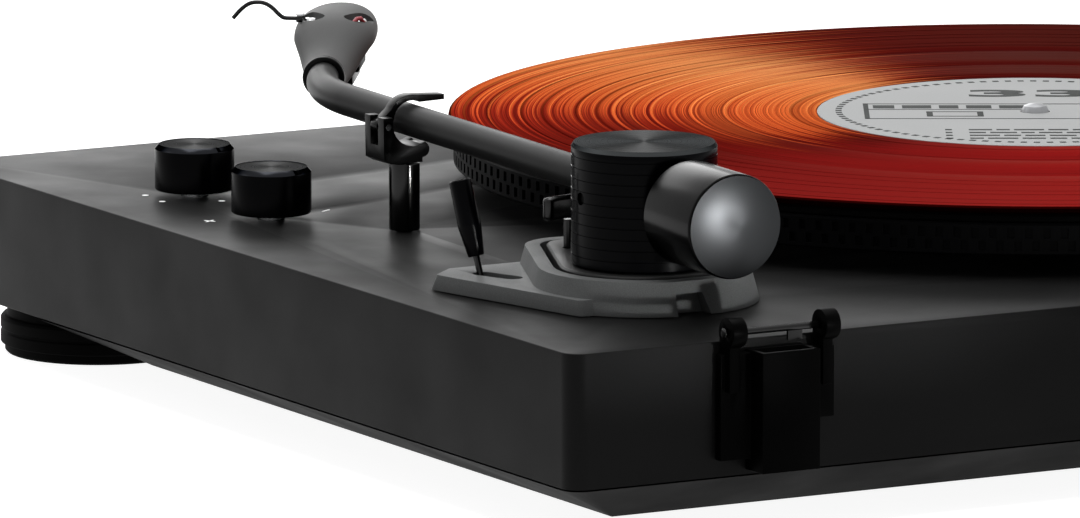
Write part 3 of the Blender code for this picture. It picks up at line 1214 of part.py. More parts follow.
def build_rest():
    """The arm rest: a post, a forked cradle head, and a clip on a pin between its plates."""
    post = [
        (0.0, POST_TOP), (POST_RADIUS, POST_TOP), (POST_RADIUS, CLEARANCE),
        (POST_STUD_RADIUS, CLEARANCE), (POST_STUD_RADIUS, -POST_STUD_LENGTH),
        (0.0, -POST_STUD_LENGTH),
    ]
    turned("rest_post", post, (RIGHT_X - REST_INSET_X, REAR_Y - REST_INSET_Y, DECK_Z), "gloss",
           steps=ROUND_STEPS)
    centre_x, centre_z = rest_centre()
    near_y = REAR_Y - HEAD_NEAR_INSET_Y
    depth = HEAD_PLATE + HEAD_GAP + HEAD_FAR_PLATE
    bottom = DECK_Z + HEAD_BOTTOM - centre_z
    cradle_end = math.acos((EAR_INNER_X - CRADLE_SHIFT_X) / CRADLE_RADIUS)
    cradle = arc((CRADLE_SHIFT_X, 0.0), CRADLE_RADIUS, -cradle_end,
                 math.radians(CRADLE_LIP_DEG) - math.pi, ARC_STEPS)
    lip = arc((-LIP_X, -LIP_TOP - LIP_ROUND), LIP_ROUND, math.radians(LIP_START_DEG),
              1.5 * math.pi, CORNER_STEPS)
    outline = ([(EAR_FOOT_X, -EAR_FOOT_Z), (EAR_OUTER_X, EAR_TOP), (EAR_INNER_X, EAR_TOP)]
               + cradle + lip + [(-LIP_X, bottom), (EAR_FOOT_X - POST_RADIUS / 2, bottom)])
    across_turn = (math.pi / 2, 0.0, 0.0)
    head = plate("rest_head", [outline], depth, (centre_x, near_y - depth / 2, centre_z), "gloss",
                 turn=across_turn)
    fork_top = centre_z + 2 * EAR_TOP
    fork_bottom = DECK_Z + HEAD_FLOOR
    fork_y = near_y - HEAD_PLATE - HEAD_GAP / 2
    cut(head, box("fork_gap", (6 * EAR_OUTER_X, HEAD_GAP, fork_top - fork_bottom),
                  (centre_x, fork_y, (fork_top + fork_bottom) / 2)))
    pin_x = centre_x + CLIP_PIN_X
    pin_z = centre_z - CLIP_PIN_DROP
    cut(head, rod("clip_pin_hole", CLIP_PIN_RADIUS + CLEARANCE, 3 * depth, (pin_x, fork_y, pin_z),
                  "Y", steps=ARC_STEPS))
    rod("clip_pin", CLIP_PIN_RADIUS, depth, (pin_x, near_y - depth / 2, pin_z), "Y", "steel",
        steps=ARC_STEPS)
    axis = make_empty("clip_axis", (pin_x, fork_y, pin_z))
    clip = plate("rest_clip", [clip_outline()], HEAD_GAP - 2 * CLEARANCE,
                 (-CLIP_PIN_X, 0.0, CLIP_PIN_DROP), "gloss", axis, across_turn)
    cut(clip, rod("clip_hole", CLIP_PIN_RADIUS + CLEARANCE, 2 * HEAD_GAP, (0.0, 0.0, 0.0), "Y",
                  parent=axis, steps=ARC_STEPS))


def clip_outline():
    """The clip as seen from behind, about the arm tube's middle: +X is its hinge side."""
    def over(degrees):
        return math.pi - math.radians(degrees)
    end = over(CLIP_END_DEG)
    tab_inner = (CLIP_INNER_RADIUS * math.cos(end), CLIP_INNER_RADIUS * math.sin(end))
    tip = -TAB_REACH
    tab = [
        (tip, TAB_BOTTOM + TAB_RISE), (tip, TAB_BOTTOM + TAB_RISE + TAB_THICKNESS),
    ]
    outer = arc((0.0, 0.0), CLIP_OUTER_RADIUS, end - math.radians(18.0), over(CLIP_ROOT_DEG),
                ARC_STEPS)
    hub = arc((CLIP_PIN_X, -CLIP_PIN_DROP), CLIP_HUB_RADIUS, math.pi / 2, -math.pi * 0.75,
              ARC_STEPS)
    inner = arc((0.0, 0.0), CLIP_INNER_RADIUS, over(CLIP_INNER_ROOT_DEG), end, ARC_STEPS)
    return tab + outer + hub + inner[:-1] + [tab_inner, (tab_inner[0], max(tab_inner[1],
                                                                            TAB_BOTTOM))]


def build_cue_lift():
    """The cue lever in its well and the curved platform that it raises under the arm."""
    x, y = cue_pin_place()
    cylinder_top = BASE_FLOOR - CLEARANCE
    bore = CUE_PIN_RADIUS + CUE_PIN_FIT
    bore_bottom = -CUE_PIN_DEPTH - CUE_CYLINDER_DEPTH / 4
    cylinder = [
        (0.0, bore_bottom), (bore, bore_bottom), (bore, cylinder_top),
        (CUE_CYLINDER_RADIUS, cylinder_top), (CUE_CYLINDER_RADIUS, -CUE_CYLINDER_DEPTH),
        (0.0, -CUE_CYLINDER_DEPTH),
    ]
    turned("lift_cylinder", cylinder, (x, y, DECK_Z), "brass", steps=ROUND_STEPS // 2)
    axis = make_empty("cue_axis", (x, y, DECK_Z))
    tube_bottom = (PIVOT_HEIGHT + CUE_ARC_RADIUS * math.sin(ARM_REST_TILT) - TUBE_RADIUS)
    arc_top = tube_bottom - CUE_ARC_GAP
    arc_bottom = arc_top - CUE_ARC_HEIGHT
    turned("lift_pin", [(0.0, arc_bottom - CLEARANCE), (CUE_PIN_RADIUS, arc_bottom - CLEARANCE),
                        (CUE_PIN_RADIUS, -CUE_PIN_DEPTH), (0.0, -CUE_PIN_DEPTH)],
           (0.0, 0.0, 0.0), "steel", axis, steps=ARC_STEPS)
    first = math.radians(CUE_ARC_INNER_DEG) - math.pi / 2
    last = math.radians(CUE_ARC_OUTER_DEG) - math.pi / 2
    outline = (arc((0.0, 0.0), CUE_ARC_RADIUS + CUE_ARC_WIDTH / 2, first, last, ARC_STEPS)
               + arc((0.0, 0.0), CUE_ARC_RADIUS - CUE_ARC_WIDTH / 2, last, first, ARC_STEPS))
    plate("lift_platform", [outline], CUE_ARC_HEIGHT,
          (PIVOT_X - x, PIVOT_Y - y, (arc_top + arc_bottom) / 2), "gloss", axis)
    build_lever()


def build_lever():
    """The lever: hub and stalk in one, a grip pushed over the stalk, and the pin it rocks on."""
    middle_x, middle_y = lever_place()
    place = (middle_x + LEVER_PIVOT_SHIFT * math.sin(lever_turn()),
             middle_y - LEVER_PIVOT_SHIFT * math.cos(lever_turn()), DECK_Z - LEVER_PIVOT_DEPTH)
    slot = make_empty("lever_slot_axis", place, (0.0, 0.0, lever_turn()))
    rod("lever_pin", LEVER_PIN_RADIUS, LEVER_WELL_WIDTH - 2 * CLEARANCE, (0.0, 0.0, 0.0), "X",
        "steel", slot, steps=ARC_STEPS)
    axis = make_empty("lever_axis", (0.0, 0.0, 0.0), (math.radians(LEVER_LEAN_DEG), 0.0, 0.0),
                      slot)
    lever = rod("cue_lever", LEVER_HUB_RADIUS, LEVER_HUB_WIDTH, (0.0, 0.0, 0.0), "X", "steel",
                axis, steps=ROUND_STEPS // 2)
    join(lever, rod("lever_stalk", LEVER_STALK_RADIUS, LEVER_STALK_LENGTH,
                    (0.0, 0.0, LEVER_HUB_RADIUS / 2 + LEVER_STALK_LENGTH / 2), parent=axis,
                    steps=ARC_STEPS))
    cut(lever, rod("lever_bore", LEVER_PIN_RADIUS + CLEARANCE, 2 * LEVER_HUB_WIDTH,
                   (0.0, 0.0, 0.0), "X", parent=axis, steps=ARC_STEPS))
    top = LEVER_GRIP_START + LEVER_GRIP_LENGTH
    waist = LEVER_GRIP_START + LEVER_GRIP_LENGTH * LEVER_GRIP_WAIST_SHARE
    bore = LEVER_STALK_RADIUS + CLEARANCE
    bore_top = LEVER_HUB_RADIUS / 2 + LEVER_STALK_LENGTH + CLEARANCE
    turned("lever_grip",
           [(0.0, top), (LEVER_GRIP_HIGH_RADIUS - LEVER_GRIP_EDGE, top),
            (LEVER_GRIP_HIGH_RADIUS, top - LEVER_GRIP_EDGE), (LEVER_GRIP_WAIST_RADIUS, waist),
            (LEVER_GRIP_LOW_RADIUS, LEVER_GRIP_START),
            (bore, LEVER_GRIP_START), (bore, bore_top), (0.0, bore_top)],
           (0.0, 0.0, 0.0), "gloss", axis, steps=ROUND_STEPS // 2)


def build_hinge(name, side):
    """One dust cover hinge: a socket body with two ears, and the rod that turns in them."""
    x = side * (RIGHT_X - HINGE_INSET_X)
    body_x = x - side * HINGE_BODY_SHIFT
    near = REAR_Y + CLEARANCE
    body_height = HINGE_BODY_BOTTOM - HINGE_BODY_TOP
    body_middle = near + HINGE_BODY_DEPTH / 2
    base = box("hinge_base_" + name, (HINGE_BODY_WIDTH, HINGE_BODY_DEPTH, body_height),
               (body_x, body_middle, DECK_Z - HINGE_BODY_TOP - body_height / 2), "moulding")
    outline = [
        (side * HINGE_PLATE_OUTER, -HINGE_PLATE_TOP), (-side * HINGE_PLATE_INNER, -HINGE_PLATE_TOP),
        (-side * HINGE_PLATE_INNER, -HINGE_PLATE_STEP), (0.0, -HINGE_PLATE_STEP),
        (0.0, -HINGE_PLATE_LOW), (side * HINGE_PLATE_OUTER, -HINGE_PLATE_LOW),
    ]
    join(base, plate("hinge_plate", [outline], HINGE_PLATE_THICKNESS,
                     (x, near + HINGE_PLATE_THICKNESS / 2, DECK_Z), turn=AXIS_TURNS["Y"]))
    ear_y = REAR_Y + HINGE_EAR_OUT
    ear_z = DECK_Z + HINGE_EAR_CENTRE
    ear_x = HINGE_EAR_SPAN / 2 + HINGE_EAR_THICKNESS / 2
    neck_height = HINGE_EAR_CENTRE + HINGE_NECK_DROP
    for way in (-1, 1):
        join(base,
             box("hinge_neck", (HINGE_NECK_WIDTH, HINGE_NECK_DEPTH, neck_height),
                 (x + way * ear_x, near + HINGE_NECK_DEPTH / 2, ear_z - neck_height / 2)),
             rod("hinge_ear", HINGE_EAR_RADIUS, HINGE_EAR_THICKNESS, (x + way * ear_x, ear_y, ear_z),
                 "X", steps=ROUND_STEPS - ROUND_STEPS // 4))
    socket_width = HINGE_BODY_WIDTH - 2 * HINGE_SOCKET_WALL
    socket_depth = HINGE_BODY_DEPTH - 2 * HINGE_SOCKET_WALL
    cut(base, box("hinge_socket", (socket_width, socket_depth, 2 * HINGE_SOCKET_DEPTH),
                  (body_x, body_middle, DECK_Z - HINGE_BODY_TOP)))
    rod_length = HINGE_EAR_SPAN + 2 * HINGE_EAR_THICKNESS
    cut(base, rod("hinge_bore", HINGE_ROD_RADIUS + HINGE_ROD_FIT, 2 * rod_length,
                  (x, ear_y, ear_z), "X", steps=ARC_STEPS))
    axis = make_empty("hinge_axis_" + name, (x, ear_y, ear_z))
    holder = rod("cover_rod_" + name, HINGE_ROD_RADIUS, rod_length + 3 * CLEARANCE,
                 (0.0, 0.0, 0.0), "X", "gloss", axis, steps=ARC_STEPS)
    head = rod("rod_head", HINGE_ROD_HEAD_RADIUS, HINGE_ROD_HEAD_THICKNESS,
               (side * (rod_length / 2 + CLEARANCE + HINGE_ROD_HEAD_THICKNESS / 2), 0.0, 0.0), "X",
               parent=axis, steps=ARC_STEPS)
    fin = box("rod_fin", (HINGE_FIN_WIDTH, HINGE_FIN_THICKNESS, HINGE_FIN_LENGTH),
              (-side * HINGE_FIN_WIDTH, 0.0, -HINGE_FIN_LENGTH / 2), parent=axis)
    join(holder, head, fin)


def build_connections():
    """The rear panel with two signal jacks, the earth post and the power socket."""
    z = DECK_Z - PANEL_DROP
    outer = REAR_Y - CLEARANCE
    middle = outer - PANEL_THICKNESS / 2
    panel = box("jack_panel", (PANEL_WIDTH, PANEL_THICKNESS, PANEL_HEIGHT),
                (PANEL_CENTRE_X, middle, z), "moulding")

    def seat(share, radius):
        x = PANEL_CENTRE_X + PANEL_WIDTH * share
        cut(panel, rod("panel_hole", radius + CLEARANCE, 4 * PANEL_THICKNESS, (x, middle, z), "Y",
                       steps=ROUND_STEPS // 2))
        return (x, outer, z)

    inside = -PANEL_THICKNESS - JACK_TAIL
    flange = CLEARANCE + JACK_FLANGE_THICKNESS
    for name, share in zip(("left", "right"), JACK_OFFSET_SHARES):
        hole_bottom = JACK_PROUD - JACK_HOLE_DEPTH
        turned("signal_jack_" + name,
               [(0.0, hole_bottom), (JACK_HOLE_RADIUS, hole_bottom),
                (JACK_HOLE_RADIUS, JACK_PROUD), (JACK_RADIUS, JACK_PROUD), (JACK_RADIUS, flange),
                (JACK_FLANGE_RADIUS, flange), (JACK_FLANGE_RADIUS, CLEARANCE),
                (JACK_TAIL_RADIUS, CLEARANCE), (JACK_TAIL_RADIUS, inside), (0.0, inside)],
               seat(share, JACK_TAIL_RADIUS), "brass", steps=ROUND_STEPS // 2, turn=FACE_REAR)
    nut = CLEARANCE + GROUND_NUT_THICKNESS
    turned("earth_post",
           [(0.0, GROUND_PROUD), (GROUND_SCREW_RADIUS, GROUND_PROUD), (GROUND_SCREW_RADIUS, nut),
            (GROUND_NUT_RADIUS, nut), (GROUND_NUT_RADIUS, CLEARANCE),
            (GROUND_SCREW_RADIUS, CLEARANCE), (GROUND_SCREW_RADIUS, inside), (0.0, inside)],
           seat(GROUND_OFFSET_SHARE, GROUND_SCREW_RADIUS), "steel", steps=ROUND_STEPS // 2,
           turn=FACE_REAR)
    tail = -PANEL_THICKNESS - POWER_TAIL
    face = CLEARANCE + POWER_PROUD
    bore_bottom = face - POWER_BORE_DEPTH
    pin_top = face - POWER_PIN_SETBACK
    turned("power_socket",
           [(0.0, pin_top), (POWER_PIN_RADIUS, pin_top), (POWER_PIN_RADIUS, bore_bottom),
            (POWER_BORE_RADIUS, bore_bottom), (POWER_BORE_RADIUS, face), (POWER_RADIUS, face),
            (POWER_RADIUS, CLEARANCE), (POWER_TAIL_RADIUS, CLEARANCE), (POWER_TAIL_RADIUS, tail),
            (0.0, tail)],
           seat(POWER_OFFSET_SHARE, POWER_TAIL_RADIUS), "moulding", steps=ROUND_STEPS // 2,
           turn=FACE_REAR)


def build_board():
    """The circuit board on four posts under the deck."""
    top = UNDER_DECK_Z - BOARD_STANDOFF
    y = REAR_Y - BOARD_FROM_REAR
    board = box("circuit_board", (BOARD_LENGTH, BOARD_WIDTH, BOARD_THICKNESS),
                (BOARD_CENTRE_X, y, top - BOARD_THICKNESS / 2), "board")
    height = BOARD_STANDOFF + BOARD_THICKNESS / 2
    for side in (-1, 1):
        for end in (-1, 1):
            join(board, rod("board_post", BOARD_POST_RADIUS, height,
                            (BOARD_CENTRE_X + side * (BOARD_LENGTH / 2 - BOARD_POST_INSET),
                             y + end * (BOARD_WIDTH / 2 - BOARD_POST_INSET),
                             UNDER_DECK_Z - height / 2), steps=ARC_STEPS))


def main():
    """Build every piece."""
    build_plinth()
    build_cover()
    build_feet()
    build_platter()
    build_drive()
    build_knob("selector", SELECTOR_INSET_Y, "speed_switch")
    build_knob("pitch", PITCH_INSET_Y, "pitch_control")
    build_arm_base()
    build_housing()
    build_arm()
    build_rest()
    build_cue_lift()
    build_hinge("left", -1)
    build_hinge("right", 1)
    build_connections()
    build_board()


main()
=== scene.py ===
"""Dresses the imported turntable: finishes, finer meshes for what shows, and a plain studio.

Metres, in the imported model's own frame: +X is the side with the arm, +Y the rear, +Z up. Each
sub-assembly is a class with its sizes as fields. Sizes that the part's source also holds are
repeated here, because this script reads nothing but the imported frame.
"""

import json
import logging
import math
from collections.abc import Sequence
from dataclasses import dataclass, field
from enum import Enum

import bmesh
import bpy
from mathutils import Euler, Matrix, Vector

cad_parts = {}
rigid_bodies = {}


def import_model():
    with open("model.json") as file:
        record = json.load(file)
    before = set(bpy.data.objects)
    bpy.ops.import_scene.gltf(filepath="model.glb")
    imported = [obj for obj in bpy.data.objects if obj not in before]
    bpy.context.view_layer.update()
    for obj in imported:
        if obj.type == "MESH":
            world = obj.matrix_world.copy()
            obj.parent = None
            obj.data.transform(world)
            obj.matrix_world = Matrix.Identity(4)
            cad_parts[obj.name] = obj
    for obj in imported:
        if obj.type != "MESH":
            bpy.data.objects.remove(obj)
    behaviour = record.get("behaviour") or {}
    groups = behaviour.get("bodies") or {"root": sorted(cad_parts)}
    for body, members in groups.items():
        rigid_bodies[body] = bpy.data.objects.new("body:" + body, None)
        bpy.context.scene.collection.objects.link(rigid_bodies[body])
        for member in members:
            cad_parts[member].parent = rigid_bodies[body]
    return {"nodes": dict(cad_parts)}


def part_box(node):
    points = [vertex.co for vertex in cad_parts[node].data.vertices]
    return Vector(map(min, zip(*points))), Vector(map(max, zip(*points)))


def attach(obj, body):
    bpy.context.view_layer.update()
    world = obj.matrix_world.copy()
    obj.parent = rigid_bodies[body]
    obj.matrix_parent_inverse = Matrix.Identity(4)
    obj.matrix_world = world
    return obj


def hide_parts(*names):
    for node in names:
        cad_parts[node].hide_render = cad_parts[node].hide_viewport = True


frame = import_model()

LOG = logging.getLogger("turntable")
MM = 0.001
WELD = 0.000002
SHARP = math.radians(32.0)
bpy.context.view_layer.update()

# Heights and places shared by several sub-assemblies, as in the part's source
GAP = 0.0003
DECK_Z = 0.0480
RIGHT_X = 0.210
REAR_Y = 0.16165
SPINDLE = Vector((-0.0208, -0.00525, DECK_Z))
SPINDLE_FOOT = (SPINDLE.x, SPINDLE.y, 0.0)
PIVOT = Vector((0.1558, 0.10165, DECK_Z))
ARM_HEIGHT = 0.0262
ARM_TILT = math.radians(0.8)
ARM_BEND = math.radians(34.0)

# Radii on the record: the gaps, with the run-out among them, and two sunk rings. The vinyl's
# colour is darkened at the gaps as painted shade and lightened at the rings as painted highlight.
SHADED_GAPS = (0.1467, 0.1405, 0.1320, 0.1267, 0.1179, 0.1126, 0.0626)
HIGHLIT_RINGS = (0.1031, 0.0790)

# The lower edge of the drum and the knobs, about the corner that it takes off
FOOT_EDGE = ((0.0, 0.0003), (-0.0003, 0.0))

# Middle stretches of a noise's values, which hold nearly all of them
NOISE_MIDDLE = (0.3, 0.7)
NOISE_WIDE = (0.25, 0.75)

Mesh = bpy.types.Mesh
Material = bpy.types.Material
Socket = bpy.types.NodeSocket
Point = tuple[float, float]
Place = tuple[float, float, float]
Profile = Sequence[Point]
Stops = Sequence[tuple[float, tuple[float, float, float, float]]]


class Body(Enum):
    """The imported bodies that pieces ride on."""

    CHASSIS = "chassis"
    PLATTER = "platter_set"
    RECORD = "record"
    YOKE = "arm_yoke"
    ARM = "arm"
    WEIGHT = "balance_weight"
    CLIP = "arm_clip"
    CUE_PLATFORM = "cue_platform"
    CUE_HANDLE = "cue_handle"
    SELECTOR = "selector"
    PITCH = "pitch"
    HOLDER_LEFT = "cover_holder_left"
    HOLDER_RIGHT = "cover_holder_right"


class Facing(Enum):
    """Which way a turned piece's own axis points."""

    UP = (0.0, 0.0, 0.0)
    REAR = (-math.pi / 2, 0.0, 0.0)
    RIGHT = (0.0, math.pi / 2, 0.0)


def linear(hex_colour: str) -> tuple[float, float, float, float]:
    """Turn an sRGB hex colour into the linear colour that shaders take.

    Args:
        hex_colour: Six hex digits with a leading hash.

    Returns:
        Red, green, blue and an alpha of one.
    """
    values = [int(hex_colour[i:i + 2], 16) / 255 for i in (1, 3, 5)]
    return (*(v / 12.92 if v <= 0.04045 else ((v + 0.055) / 1.055) ** 2.4 for v in values), 1.0)


# ---------------------------------------------------------------- finishes


class Graph:
    """A node tree, with a short call for each kind of node that is used often."""

    def __init__(self, tree: bpy.types.NodeTree) -> None:
        """Take over a tree."""
        self.tree = tree

    def feed(self, node: bpy.types.Node, inputs: dict) -> None:
        """Give a node's inputs their links and constants.

        Args:
            node: The node.
            inputs: Sockets to link from, or constants, by the input's name or number.
        """
        for key, value in inputs.items():
            if isinstance(value, Socket):
                self.tree.links.new(value, node.inputs[key])
            else:
                node.inputs[key].default_value = value

    def node(self, kind: str, inputs: dict | None = None, **settings) -> bpy.types.Node:
        """Add a node.

        Args:
            kind: The node's type name.
            inputs: What feed takes.
            settings: Attributes of the node itself.

        Returns:
            The new node.
        """
        node = self.tree.nodes.new(kind)
        for name, value in settings.items():
            setattr(node, name, value)
        self.feed(node, inputs or {})
        return node

    def math(self, operation: str, *values) -> Socket:
        """Reckon with numbers, which are sockets or constants."""
        return self.node("ShaderNodeMath", dict(enumerate(values)), operation=operation).outputs[0]

    def vector(self, operation: str, *values) -> Socket:
        """Reckon with vectors.

        Args:
            operation: The node's operation.
            values: Sockets or constants; SCALE takes its factor second.

        Returns:
            A vector, or for LENGTH a number.
        """
        keys = (0, "Scale") if operation == "SCALE" else (0, 1)
        node = self.node("ShaderNodeVectorMath", dict(zip(keys, values)), operation=operation)
        return node.outputs["Value" if operation == "LENGTH" else "Vector"]

    def remap(self, value: Socket, span: Point, to: Point = (0.0, 1.0)) -> Socket:
        """Carry a value from one span to another and hold it inside.

        Args:
            value: The value.
            span: The span that it comes from.
            to: The span that it goes to.

        Returns:
            The new value.
        """
        return self.node("ShaderNodeMapRange", {
            "Value": value, "From Min": span[0], "From Max": span[1],
            "To Min": to[0], "To Max": to[1]}).outputs[0]

    def noise(self, source: Socket, size_mm: float, detail: float) -> Socket:
        """Add noise, in space about a vector or along a line by a number.

        Args:
            source: The vector or the number, in metres.
            size_mm: Size of its grains.
            detail: Octaves of finer grains.

        Returns:
            The noise's value.
        """
        line = source.type == "VALUE"
        return self.node("ShaderNodeTexNoise", {
            "W" if line else "Vector": source, "Scale": 1 / (size_mm * MM), "Detail": detail},
            noise_dimensions="1D" if line else "3D").outputs["Fac"]

    def bump(self, height: Socket, strength: float, depth_mm: float) -> Socket:
        """Turn a height into a shading normal.

        Args:
            height: The height, from nought to one.
            strength: Strength of the bump.
            depth_mm: What a height of one stands for.

        Returns:
            The normal.
        """
        return self.node("ShaderNodeBump", {"Height": height, "Strength": strength,
                                            "Distance": depth_mm * MM}).outputs["Normal"]

    def ramp(self, share: Socket, stops: Stops) -> Socket:
        """Read a colour off a ramp.

        Args:
            share: The place on the ramp, from nought to one.
            stops: Place and colour of each stop.

        Returns:
            The colour.
        """
        node = self.node("ShaderNodeValToRGB", {0: share})
        elements = node.color_ramp.elements
        while len(elements) < len(stops):
            elements.new(0.5)
        for element, (place, colour) in zip(elements, stops):
            element.position, element.color = place, colour
        return node.outputs["Color"]

    def shown_background(self) -> Socket:
        """Tell the rays that show the background: seen, mirrored or through glass.

        Returns:
            One for those rays, nought for others.
        """
        path = self.node("ShaderNodeLightPath").outputs
        seen = self.math("MAXIMUM", path["Is Camera Ray"], path["Is Glossy Ray"])
        return self.math("MAXIMUM", seen, path["Is Transmission Ray"])


class Surface(Graph):
    """A new material's graph, with its one shader."""

    def __init__(self, name: str) -> None:
        """Make the material.

        Args:
            name: Its name.
        """
        self.material = bpy.data.materials.new(name)
        self.material.use_nodes = True
        super().__init__(self.material.node_tree)
        self.place = self.node("ShaderNodeTexCoord").outputs["Object"]

    def finished(self, inputs: dict) -> Material:
        """Feed the shader.

        Args:
            inputs: What feed takes.

        Returns:
            The material.
        """
        self.feed(self.tree.nodes["Principled BSDF"], inputs)
        return self.material


@dataclass(frozen=True)
class Finish:
    """A solid surface: one colour with a fine texture in its height, tone and gloss."""

    name: str
    colour: str
    roughness: float
    metallic: float = 0.0
    specular: float = 0.5
    grain_mm: float = 0.4
    grain_height_mm: float = 0.01
    grain_strength: float = 0.6
    tone_share: float = 0.12
    gloss_spread: float = 0.06
    wear_mm: float = 30.0

    def build(self) -> Material:
        """Make the material, its pattern on Object coordinates.

        Returns:
            The material.
        """
        surface = Surface(self.name)
        grain = surface.noise(surface.place, self.grain_mm, 2.0)
        patches = surface.noise(surface.place, self.wear_mm, 4.0)
        tone = surface.remap(grain, NOISE_MIDDLE, (1 - self.tone_share, 1 + self.tone_share))
        gloss = surface.remap(patches, NOISE_MIDDLE, (self.roughness - self.gloss_spread,
                                                      self.roughness + self.gloss_spread))
        return surface.finished({
            "Metallic": self.metallic, "Specular IOR Level": self.specular,
            "Base Color": surface.vector("SCALE", linear(self.colour)[:3], tone),
            "Roughness": gloss,
            "Normal": surface.bump(grain, self.grain_strength, self.grain_height_mm)})


@dataclass(frozen=True)
class TurnedFinish:
    """Metal faced on a lathe: fine rings about an axis, which stretch highlights into fans."""

    name: str
    colour: str
    roughness: float
    centre: Place
    axis: Place = (0.0, 0.0, 1.0)
    anisotropy: float = 0.8
    ring_mm: float = 0.25
    ring_height_mm: float = 0.004
    ring_strength: float = 0.5
    gloss_share: float = 0.15
    edge_tint: str = "#6a6a6a"

    def build(self) -> Material:
        """Make the material, with its rings and its tangent about the axis.

        Returns:
            The material.
        """
        surface = Surface(self.name)
        arm = surface.vector("SUBTRACT", surface.place, self.centre)
        around = surface.vector("CROSS_PRODUCT", self.axis, arm)
        rings = surface.noise(surface.vector("LENGTH", around), self.ring_mm, 3.0)
        gloss = surface.remap(rings, NOISE_MIDDLE, (self.roughness * (1 - self.gloss_share),
                                                    self.roughness * (1 + self.gloss_share)))
        return surface.finished({
            "Base Color": linear(self.colour), "Metallic": 1.0, "Anisotropic": self.anisotropy,
            "Specular Tint": linear(self.edge_tint), "Roughness": gloss,
            "Tangent": surface.vector("NORMALIZE", around),
            "Normal": surface.bump(rings, self.ring_strength, self.ring_height_mm)})


